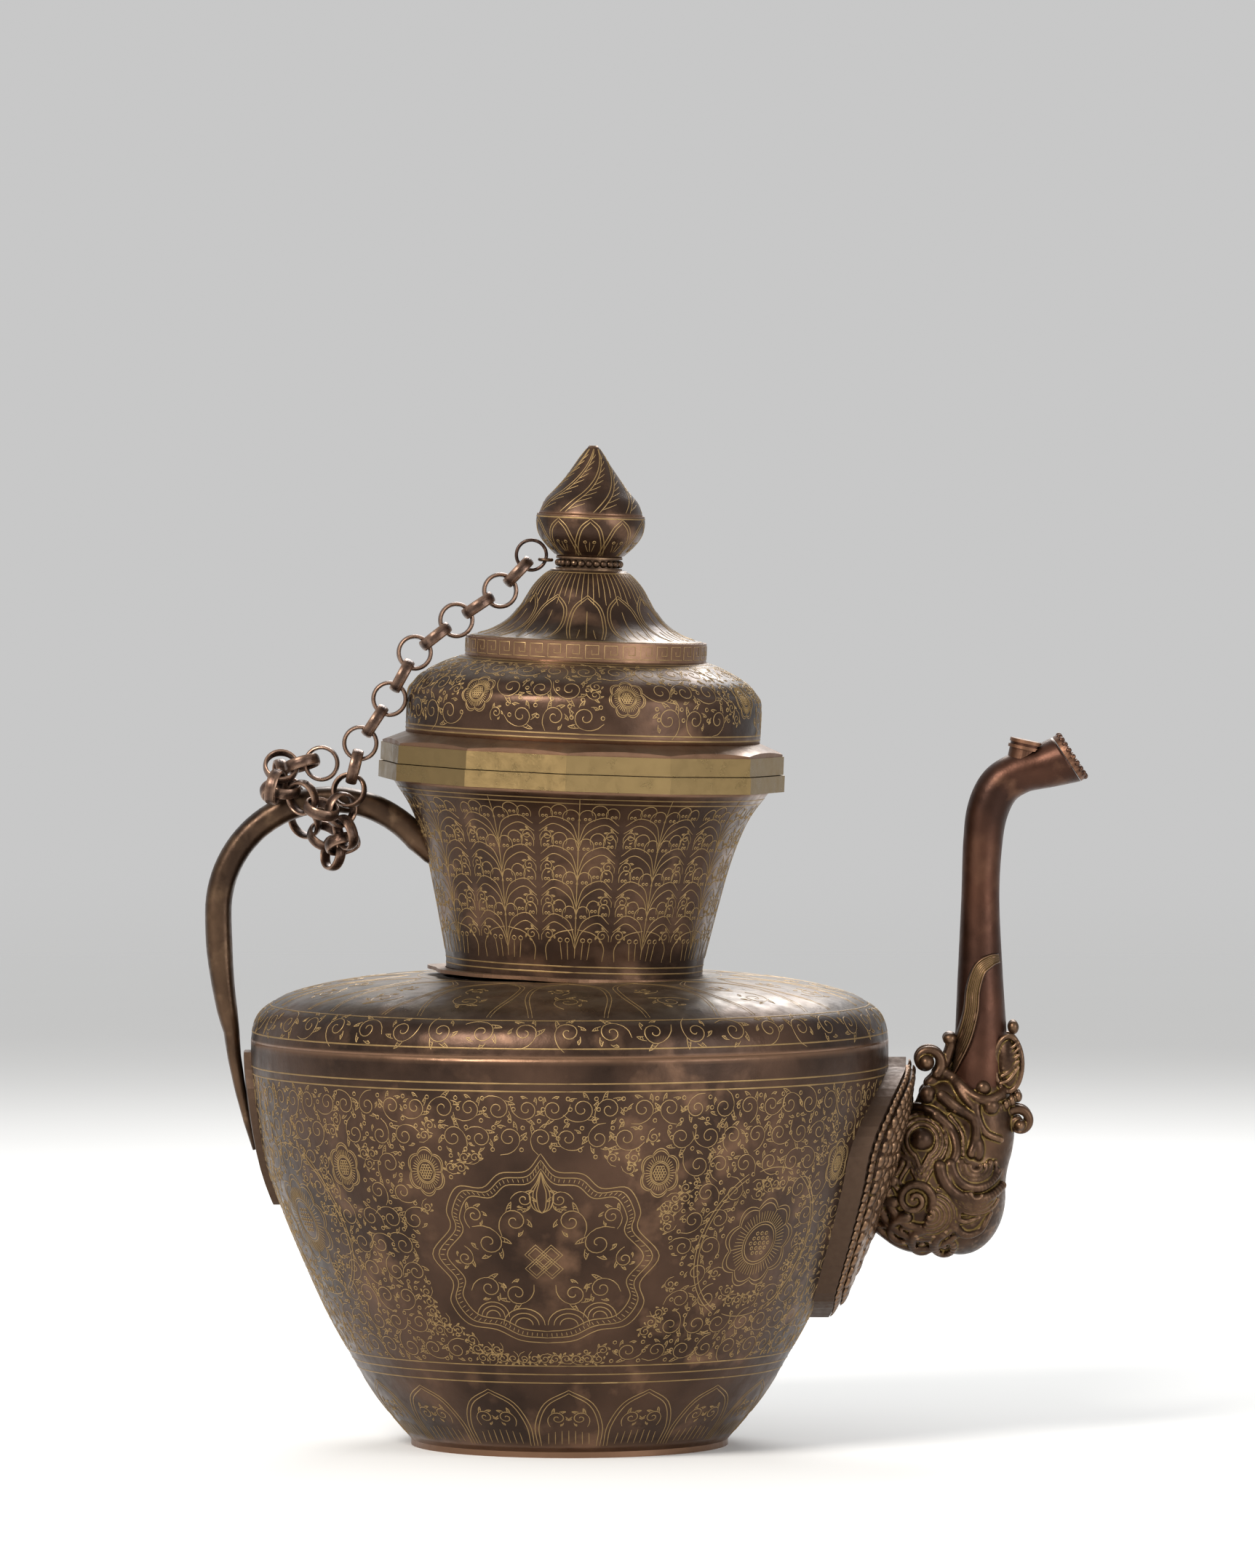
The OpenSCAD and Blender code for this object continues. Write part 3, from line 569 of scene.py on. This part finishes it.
def drum_taken(a, v, margin):
    for fa, fv in blooms:
        d = wrap(a - fa) * drum.radius(v) / (6.8 + margin)
        if d * d + ((v - fv) / (7.4 + margin)) ** 2 < 1:
            return True
    return not 3.2 + margin < v < drum.length - 4 - margin

fill(pen, 3.5, drum.length - 4, 10.2, 3.9, drum_taken)
pen.done("drum_engraving", "lid")

# key band: forty hooks on a base line
pen = Pen(band, 0.42)
key = [[0, 0.2], [0, 4.6], [4.6, 4.6], [4.6, 1.6], [2.2, 1.6], [2.2, 3.0]]
for k in range(40):
    pen.stroke(np.array(key) * [0.95, 1], (2 * math.pi * k / 40, 0.8))
    pen.stroke(np.array([[0, 0.2], [5.9, 0.2]]) * [0.95, 1], (2 * math.pi * k / 40, 0.8))
pen.done("key_engraving", "lid")

# bell: petals below, fine rays above
pen = Pen(bell, 0.42)
for v in (1.2, bell.length - 1.4):
    ring_line(pen, v)
for a, half in petal_row(pen, 12, 3, bell.length * 0.62, (0, 1.0), 0.95):
    pen.stroke([[0, 1], [0, bell.length * 0.45]], (a, 3), width=0.34)
    for x in (-0.5, 0.5):
        pen.stroke([[x * half, 1], [x * half * 0.7, 8]], (a, 3), width=0.34)
for k in range(64):
    a = 2 * math.pi * k / 64
    pen.stroke([[0, bell.length * (0.60 if k % 2 else 0.68)], [0, bell.length * 0.8], [0, bell.length - 1.8]],
               (a, 0), width=0.26)
pen.done("bell_engraving", "lid")

# finial: petals on the cup, twisted stripes on the bud
pen = Pen(cup, 0.4)
for a, half in petal_row(pen, 10, 1.0, cup.length - 2.2, (0, 1.1), 0.94):
    pen.stroke([[0, 1.5], [0, 6]], (a, 1.5), width=0.32)
    for x in (-1.6, 1.6):
        pen.stroke([[x * 0.4, 1.5], [x, 5]], (a, 1.5), width=0.32)
        ringlet(pen, (a + x / cup.radius(8), 7.4), 0.5)
ring_line(pen, cup.length - 1)
pen.done("cup_engraving", "lid")

pen = Pen(bud, 0.4)
for k in range(9):
    v = np.linspace(1, bud.length - 1.5, 26)
    for turn in (0, 0.12):
        pen.line(2 * math.pi * k / 9 + turn + 1.5 * v / bud.length, v)
    for q in np.linspace(2, bud.length - 6, 9):
        v2 = np.linspace(q, q + 2.2, 4)
        pen.line(2 * math.pi * k / 9 + 0.12 + 1.5 * q / bud.length + np.linspace(0, 0.34, 4), v2, 0.3)
pen.done("bud_engraving", "lid")

bowl.skin("bowl_skin", 1.6, "pot", "body_bowl")
dome.skin("shoulder_skin", 1.6, "pot", "shoulder_dome")
neck.skin("neck_skin", 1.5, "pot", "neck")
drum.skin("drum_skin", 1.5, "lid", "lid_drum")
bell.skin("bell_skin", 1.5, "lid", "lid_bell")
cup.skin("cup_skin", 4.0, "lid", "finial_cup", sides=120)
bud.skin("bud_skin", 1.2, "lid", "finial_bud", sides=120)

# ------------------------------------------------------------------ swept pieces
def sweep(path, radii, thick, name, material, node, sides, flat=1.0, bore=None, end=None):
    """A tube along a path in the XZ plane, radii sideways and thick across. A flat below 1 squares the
    section, bore is the wall left round a way, and end is the direction of the last ring's way out."""
    path = np.asarray(path, float)
    t = np.gradient(path, axis=0)
    if end is not None:
        share = np.clip((np.arange(len(path)) - len(path) + 9) / 8, 0, 1)[:, None]
        t = t / np.linalg.norm(t, axis=1)[:, None] * (1 - share) + share * np.array(end)
    t /= np.linalg.norm(t, axis=1)[:, None]
    n = np.stack([-t[:, 1], t[:, 0]], 1)
    a = np.linspace(0, 2 * math.pi, sides, endpoint=False)
    co, si = (np.sign(f(a)) * np.abs(f(a)) ** flat for f in (np.cos, np.sin))
    def rings(scale_r, scale_t):
        return [np.stack([c[0] + m[0] * h * co, w * si, c[1] + m[1] * h * co], 1)
                for c, m, w, h in zip(path, n, scale_r, scale_t)]
    outer = rings(radii, thick)
    inner = rings(radii - bore, thick - bore)[::-1] if bore else []
    v = np.vstack(outer + inner)
    rows = len(outer) + len(inner)
    loop = rows if bore else rows - 1
    faces = [(i * sides + k, i * sides + (k + 1) % sides, ((i + 1) % rows) * sides + (k + 1) % sides,
              ((i + 1) % rows) * sides + k) for i in range(loop) for k in range(sides)]
    if not bore:
        faces += [tuple(range(sides))[::-1], tuple((rows - 1) * sides + k for k in range(sides))]
    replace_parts(add_mesh(name, v, faces, material, "pot"), node)

# spout tube: x, z and radius at each station, from inside the head to the mouth
tube_stations = curve([[138.4, 114, 8.6], [139.6, 126, 9.6], [140, 140, 8.8], [139.8, 160, 7.7],
                       [139.8, 186, 6.5], [140.6, 205, 6.7], [142.4, 216.5, 7.1], [146.6, 224.6, 7.3],
                       [153.6, 229, 7.2], [161, 231, 7.6], [169.0, 233.4, 8.9]], 8)
tube, tube_r = tube_stations[:, :2], tube_stations[:, 2]
sweep(tube, tube_r, tube_r, "spout_pipe", "tube", "spout_tube", 56, bore=1.5, end=(0.839, 0.545))

# handle: out of the neck, over a round top, down a shallow back and onto the leaf
BOW_X, BOW_Z, BOW_R, BACK_R = -81.1, 181.3, 38.5, 187
into_neck = [[-44.6, 198.6], [-47.2, 200.8]]
top = [[BOW_X + BOW_R * math.cos(q), BOW_Z + BOW_R * math.sin(q)]
       for q in np.radians(np.linspace(36, 180, 40))]
back = [[BOW_X + BACK_R - BOW_R - BACK_R * math.cos(q), BOW_Z - BACK_R * math.sin(q)]
        for q in np.radians(np.linspace(1, 12.5, 12))]
foot = [[-114.2, 132], [-112.2, 121], [-109.6, 110], [-106.9, 100.5]]
grip = np.array(into_neck + top + back + foot)
far = np.linspace(0, 1, len(grip))
half_t = np.interp(far, [0, 0.05, 0.78, 0.9, 1], [2.4, 4.4, 4.5, 3.4, 1.1])
half_w = np.interp(far, [0, 0.05, 0.8, 0.92, 1], [4.4, 6.0, 6.0, 5.4, 2.2])
sweep(grip, half_w, half_t, "handle_grip", "bronze", "handle_bow", 48, flat=0.72)

# ------------------------------------------------------------------ sea-monster head
class Clay:
    """A symmetric head kept as a distance field on half a grid, in mm; y runs inward from the left side."""
    def __init__(self, lo, hi, pitch):
        self.lo, self.pitch = np.array(lo, float), pitch
        self.axis = [np.arange(l, h, pitch) for l, h in zip(lo, hi)]
        self.field = np.full([len(a) for a in self.axis], 9.0, np.float32)

    def window(self, centre, reach):
        pick = []
        for a, c, r in zip(self.axis, centre, reach):
            pick.append(slice(max(0, np.searchsorted(a, c - r)), np.searchsorted(a, c + r)))
        return tuple(pick), np.meshgrid(*(a[q] for a, q in zip(self.axis, pick)), indexing="ij", sparse=True)

    def merge(self, pick, d, k, cut=False):
        """Adds a shape to the head or cuts it out, with an edge rounded over k."""
        f = self.field[pick]
        if not f.size:
            return
        if cut:
            d = -d
            h = np.clip(0.5 - 0.5 * (f - d) / k, 0, 1)
            self.field[pick] = f * (1 - h) + d * h + k * h * (1 - h)
        else:
            h = np.clip(0.5 + 0.5 * (f - d) / k, 0, 1)
            self.field[pick] = f * (1 - h) + d * h - k * h * (1 - h)

    def blob(self, c, r, k, turn=0.0):
        r = np.array(r, float)
        pick, (x, y, z) = self.window(c, np.full(3, r.max() + 3 * k + 1))
        co, si = math.cos(turn), math.sin(turn)
        u, w = (x - c[0]) * co + (z - c[2]) * si, (z - c[2]) * co - (x - c[0]) * si
        q = np.sqrt((u / r[0]) ** 2 + ((y - c[1]) / r[1]) ** 2 + (w / r[2]) ** 2)
        g = np.sqrt((u / r[0] ** 2) ** 2 + ((y - c[1]) / r[1] ** 2) ** 2 + (w / r[2] ** 2) ** 2) + 1e-6
        self.merge(pick, (q * (q - 1) / g).astype(np.float32), k)

    def depth(self, x, z):
        """How far out the surface stands at a place seen from the side."""
        i = int(round((x - self.lo[0]) / self.pitch))
        j = int(round((z - self.lo[2]) / self.pitch))
        column = self.base[min(max(i, 0), self.base.shape[0] - 1), :, min(max(j, 0), self.base.shape[2] - 1)]
        solid = np.where(column < 0)[0]
        return self.axis[1][solid[0]] if len(solid) else -3.0

    def settle(self):
        """Keeps the plain head, on which the relief then lies."""
        self.base = self.field.copy()

    def rope(self, pts, r0, r1, lift, k, cut=False, flat=None):
        """A round cord laid on the head, or at the depth flat, that runs from radius r0 to r1."""
        pts = np.asarray(pts, float)
        step = np.concatenate([[0], np.cumsum(np.linalg.norm(np.diff(pts, axis=0), axis=1))])
        s = np.linspace(0, step[-1], max(3, int(step[-1] / (0.45 * max(r0, 0.5))) + 1))
        x, z = np.interp(s, step, pts[:, 0]), np.interp(s, step, pts[:, 1])
        y = np.array([self.depth(a, b) for a, b in zip(x, z)]) if flat is None else np.full(len(s), flat)
        for _ in range(2):
            y = np.convolve(np.pad(y, 1, mode="edge"), [0.25, 0.5, 0.25], "valid")
        for i in range(len(s)):
            r = r0 + r1 * s[i] / s[-1] - r0 * s[i] / s[-1]
            c = (x[i], y[i] - lift, z[i])
            pick, (gx, gy, gz) = self.window(c, np.full(3, r + 2 * k + 0.8))
            d = np.sqrt((gx - c[0]) ** 2 + (gy - c[1]) ** 2 + (gz - c[2]) ** 2) - r
            self.merge(pick, d.astype(np.float32), k, cut)

    def mesh(self, name, material, nodes):
        both = np.concatenate([self.field, self.field[:, ::-1][:, 1:]], 1)
        both = np.pad(both, 1, constant_values=3.0)
        grid = openvdb.FloatGrid(background=3.0)
        grid.copyFromArray(both.astype(np.float32))
        pts, quads = grid.convertToQuads(isovalue=0.0)
        verts = (np.asarray(pts) - 1) * self.pitch + self.lo
        o = add_mesh(name, verts, [tuple(int(i) for i in q) for q in quads], material, "pot")
        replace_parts(o, *nodes)

def whorl(c, r, turns, a0, way, n=40):
    t = np.linspace(0, 1, n)
    a = math.radians(a0) + way * t * turns * 2 * math.pi
    return np.stack([c[0] + r * (1 - 0.85 * t) * np.cos(a), c[1] + r * (1 - 0.85 * t) * np.sin(a)], 1)

clay = Clay((97, -26, 58), (161, 0.3, 150), 0.42)
clay.blob((119.5, 0, 90), (21, 19.5, 25), 3)
clay.blob((133, 0, 85), (15.5, 17, 20.5), 4)
clay.blob((107, 0, 92), (9, 15, 19), 4)
clay.blob((140, 0, 108), (11.5, 12, 22), 4)
clay.blob((128, 0, 116), (10, 11, 9), 4)
clay.settle()
# mane: overlapping curled locks along the lower back and under the chin
for c, r, a0, way in (((107.5, 79), 5.4, 60, 1), ((113.5, 73.5), 5.2, 80, 1), ((120.5, 69.5), 5.0, 95, 1),
                      ((106.5, 88), 4.4, 40, 1), ((128, 68.5), 4.6, 110, 1)):
    clay.rope(whorl(c, r, 1.25, a0, way), 2.1, 1.1, 0.7, 0.35)
    clay.rope(whorl(c, r * 0.72, 0.9, a0 + 40, way), 0.5, 0.4, 1.0, 0.2, cut=True)
# eye: bulging ball in a double teardrop rim under a brow
clay.blob((119.6, clay.depth(119.6, 104.5) + 0.8, 104.5), (4.2, 4.4, 4.2), 0.4)
for g, r in ((1.0, 0.9), (1.32, 0.75), (1.62, 0.6)):
    drop = arc(119.6, 104.3, 5.2 * g, 5.4 * g, -60, 240, 30)
    clay.rope(np.vstack([drop, [[119.2, 104 - 9.6 * g]], drop[:1]]), r, r, 0.5, 0.25)
clay.rope(curve([[108, 107], [112, 112.5], [118.5, 115.2], [126, 112.4], [129, 107]], 6), 2.0, 1.2, 0.6, 0.6)
# cheek fins
for k in range(5):
    x = 104.2 + 2.1 * k
    fin = curve([[x, 103 - k], [x + 2.4, 97], [x - 0.6, 91], [x + 1.2, 84.5 + k]], 6)
    clay.rope(fin, 1.05, 0.7, 0.5, 0.25)
# spiral leaf and nested shells of the jaw
clay.rope(whorl((117, 84.5), 6.6, 1.5, -30, 1), 1.7, 0.9, 1.0, 0.25)
for k in range(6):
    clay.rope(arc(122.5, 79.5, 9.6 - 1.7 * k, 8.6 - 1.5 * k, -110, 75, 24), 1.25, 0.8, 0.5 + 0.45 * k, 0.2)
# lips, tongue disc and the crescents round it
for lip, thick, thin, lift in (
        ([[122.6, 123], [126, 125.8], [130.4, 124.6], [134, 119.6], [137.4, 115.4]], 2.1, 1.6, 0.9),
        ([[126.4, 119.4], [131.6, 115.2], [137.4, 111.6], [138, 105.2], [136.4, 99.6]], 2.0, 1.5, 0.9),
        ([[124.6, 112.6], [129.6, 107.8], [131.4, 100.6], [128.6, 93.4], [130, 86]], 1.9, 1.3, 0.7)):
    clay.rope(curve(lip, 6), thick, thin, lift, 0.5)
clay.rope(curve([[129.4, 112.4], [133.4, 106.2], [133.6, 99.4]], 6), 0.75, 0.6, 1.0, 0.25)
for k in range(4):
    clay.rope(arc(137.6, 95.4, 7.2 - 1.75 * k, 5.9 - 1.45 * k, 172, 372, 28), 1.35, 0.9, 0.5 + 0.5 * k, 0.2)
clay.blob((138.5, clay.depth(138.5, 101.4), 101.4), (2.4, 2.2, 4.8), 0.3)
for k in range(5):
    clay.rope(arc(138, 86.4, 8.0 - 1.5 * k, 6.6 - 1.2 * k, 186, 340, 22), 1.15, 0.7, 0.6 + 0.3 * k, 0.2)
clay.rope(curve([[129.6, 76.6], [134, 72.4], [139.4, 73.8], [143, 79.8]], 6), 1.7, 0.9, 0.5, 0.4)
clay.rope(curve([[128, 81], [133.6, 77], [139, 78.4]], 6), 1.1, 0.7, 0.6, 0.3)
# scaly band sweeping round the face
for q in curve([[131.6, 121], [128, 112], [126.6, 102], [126, 92], [128.2, 83], [132.2, 78.4]], 3)[:15]:
    clay.blob((q[0], clay.depth(*q) + 0.3, q[1]), (1.25, 1.25, 1.25), 0.2)
# snout volute on the tube's front, knob and pearls
clay.rope(whorl((121.6, 130.6), 5.4, 1.2, -50, 1), 1.9, 1.1, 0, 0.4, flat=-5.2)
clay.blob((121.4, -5.8, 130.4), (2.7, 3.4, 2.7), 0.3)
clay.rope(curve([[125.4, 126], [128.2, 131], [130.4, 138.2]], 5), 1.7, 1.6, 0, 0.5, flat=-4)
clay.blob((129.4, -3.8, 138.4), (2.5, 2.8, 2.2), 0.5)
clay.blob((122, -7.5, 119.4), (3, 3.4, 3.4), 0.5)
for x, z, r in ((136.4, 125.2, 2.2), (140.6, 122, 2.5), (143.2, 115.8, 2.8), (146.6, 119.4, 1.9)):
    clay.blob((x, clay.depth(x, z) - 0.4, z), (r, r, r), 0.3)
# ear leaf with hatching, ball above it, ridge and volute behind the jaw
clay.blob((149.2, -4.6, 130), (4.6, 4.2, 9.6), 0.8, 0.12)
for k in range(5):
    clay.rope(curve([[146.4 + 0.5 * k, 123.4 + 2.6 * k], [149.4 + 0.4 * k, 124.8 + 2.8 * k],
                     [152.6, 129 + 2.1 * k]], 5), 0.6, 0.5, 0, 0.2, flat=-8.6 + 0.25 * k)
clay.rope(arc(149.2, 130, 4.6, 9.4, 0, 360, 44), 0.9, 0.9, 0, 0.25, flat=-7.0)
clay.blob((151, -3.2, 142.2), (1.9, 2.2, 2.4), 0.4)
for k in range(6):
    clay.blob((142 + 2.1 * k, -8.2 + 0.4 * k, 112.6 + 1.25 * k), (1.5, 2.4, 2.0), 0.3)
clay.rope(whorl((152.8, 110), 4.7, 1.15, 120, -1), 1.7, 1.1, 0, 0.35, flat=-4.8)
clay.blob((153.2, -5.2, 109), (2.0, 3.4, 2.0), 0.3)
clay.blob((147, 0, 111), (5, 6, 5), 1.5)
# wide crescents behind the tongue disc, long locks under the jaw, lips round the spout tube
for r, last, thick in ((12.4, 318, 2.3), (8.6, 334, 2.2), (5.2, 350, 1.7)):
    clay.rope(arc(137.8, 97.5, r, r * 1.06, 188, last, 40), thick, thick * 0.7, 0.6, 0.25)
for r in (11.6, 15.0, 18.4):
    clay.rope(arc(119.5, 88, r, r * 1.12, 196, 312, 40), 1.9, 1.1, 0.6, 0.25)
clay.rope(curve([[127, 127], [131.6, 124.4], [136, 120], [141, 118], [146, 119.4], [148.6, 122.6]], 6),
          1.9, 1.5, 1.4, 0.4)
clay.rope(curve([[137.8, 119], [138.6, 112], [141.4, 106.8], [146.6, 104.4]], 6), 1.5, 1.1, 0.7, 0.3)
# fine scratches of hatching over the locks and the chin
for k in range(16):
    a = math.radians(150 + 12 * k)
    c = np.array([118 + 19.5 * math.cos(a), 90 + 22 * math.sin(a)])
    inward = 3.4 * np.array([-math.cos(a + 0.5), -math.sin(a + 0.5)])
    clay.rope([c, c + inward], 0.42, 0.42, 0.2, 0.2, cut=True)
clay.mesh("monster_head", "gilt", ["makara_head", "makara_eyes", "makara_cheek_fins", "makara_tongue",
                                   "makara_snout_curl", "makara_ear_leaves", "makara_jaw_curl"])

# wavy ribbon with raised edges, on both sides of the tube's foot
ribs_v, ribs_f = [], []
way = curve([[146.2, 165.9], [143.2, 165.2], [139.4, 162.2], [137.2, 155.6], [136.4, 147.8], [134.0, 139],
             [130.6, 131.4], [128.4, 126.6]], 8)
wide = np.interp(np.linspace(0, 1, len(way)), [0, 0.2, 0.7, 1], [1.7, 2.7, 3.0, 2.6])
t = np.gradient(way, axis=0)
t /= np.linalg.norm(t, axis=1)[:, None]
across = np.linspace(-1, 1, 49)
UPRIGHT = 40              # stations of the tube below its bend
for sgn in (-1, 1):
    base = len(ribs_v)
    for c, d, w in zip(way, t, wide):
        for q in across:
            x, z = c[0] - d[1] * w * q, c[1] + d[0] * w * q
            r = np.interp(z, tube[:UPRIGHT, 1], tube_r[:UPRIGHT]) if z > 124 else 9.7
            dx = x - np.interp(z, tube[:UPRIGHT, 1], tube[:UPRIGHT, 0])
            dx = min(max(dx, -r * 0.995), r * 0.995)
            proud = -0.7 + 1.8 * (1 - q ** 8) + 0.10 * math.cos(q * math.pi * 9)
            rim = 0.75 * math.exp(-((abs(q) - 0.78) / 0.13) ** 2)
            y = math.sqrt(max(r * r - dx * dx, 0)) + proud + rim
            ribs_v.append((x, sgn * y, z))
    n = len(across)
    for i in range(len(way) - 1):
        for k in range(n - 1):
            here, above = base + i * n + k, base + (i + 1) * n + k
            f = (here, here + 1, above + 1, above)
            ribs_f.append(f if sgn > 0 else f[::-1])
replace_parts(add_mesh("tube_ribbon", ribs_v, ribs_f, "gilt", "pot"), "spout_ribbon")

# ------------------------------------------------------------------ floral relief on the spout shield
outline = curve([[0, 43], [19.5, 50], [28, 60], [34, 70], [39, 80], [43, 90], [45.5, 101], [42, 111],
                 [32, 120.5], [19, 126.5], [7, 129], [0, 132]], 8)
outline = np.vstack([outline, (outline * [-1, 1])[::-1]])
around = np.concatenate([[0], np.cumsum(np.linalg.norm(np.diff(outline, axis=0), axis=1))])
nub_v, nub_f = [], []
SHIELD_T = 5.9            # how far the shield stands off the bowl
turn_a, rise_a = np.linspace(0, 2 * math.pi, 14, endpoint=False), np.linspace(0, math.pi / 2, 5)
# rows of five-lobed studs: share of the outline, radius of a stud, height above the shield's face
stud_rows = ((0.955, 1.75, 1.2), (0.875, 2.3, 2.6), (0.775, 2.0, 2.6), (0.67, 2.5, 2.6), (0.55, 2.2, 2.6),
             (0.42, 2.4, 2.6))
for row, (grow, size, proud) in enumerate(stud_rows):
    count = int(around[-1] * grow / (2.05 * size))
    for k in range(count):
        s_k = around[-1] * (k + 0.5 * (row % 2)) / count
        y0 = np.interp(s_k, around, outline[:, 0]) * grow
        z0 = 90 + (np.interp(s_k, around, outline[:, 1]) - 90) * grow
        base = len(nub_v)
        for rise in rise_a:
            for q in turn_a:
                m = size * math.cos(rise) * (1 + 0.12 * math.cos(5 * q)) + 0.02
                y, z = y0 + m * math.cos(q), z0 + m * math.sin(q)
                wall = float(np.interp(z, bowl.p[:, 1], bowl.p[:, 0])) + SHIELD_T + proud
                nub_v.append((math.sqrt(wall * wall - y * y) + 0.55 * size * math.sin(rise) - 0.1, y, z))
        n = len(turn_a)
        for i in range(len(rise_a) - 1):
            nub_f += [(base + i * n + j, base + i * n + (j + 1) % n, base + (i + 1) * n + (j + 1) % n,
                       base + (i + 1) * n + j) for j in range(n)]
        nub_f.append(tuple(base + (len(rise_a) - 1) * n + j for j in range(n)))
add_mesh("shield_flowers", nub_v, nub_f, "gilt", "pot")

# ------------------------------------------------------------------ CAD nodes that stay
# the spout shield and the handle's leaf take the plate finish, a darker copper copy that paints in their
# shade
FINISH = {"neck_rim": "brass", "lid_rim": "brass", "bead_collar": "bronze", "finial_eye": "bronze",
          "spout_mouth_ring": "tube", "finial_ring": "chain", "spout_top_collar": "tube",
          "spout_plate_ornament": "gilt", "spout_plate": "plate", "handle_leaf": "plate"}
for name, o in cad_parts.items():
    o.data.materials.clear()
    o.data.materials.append(M[FINISH.get(name, "chain" if "link" in name else "copper")])
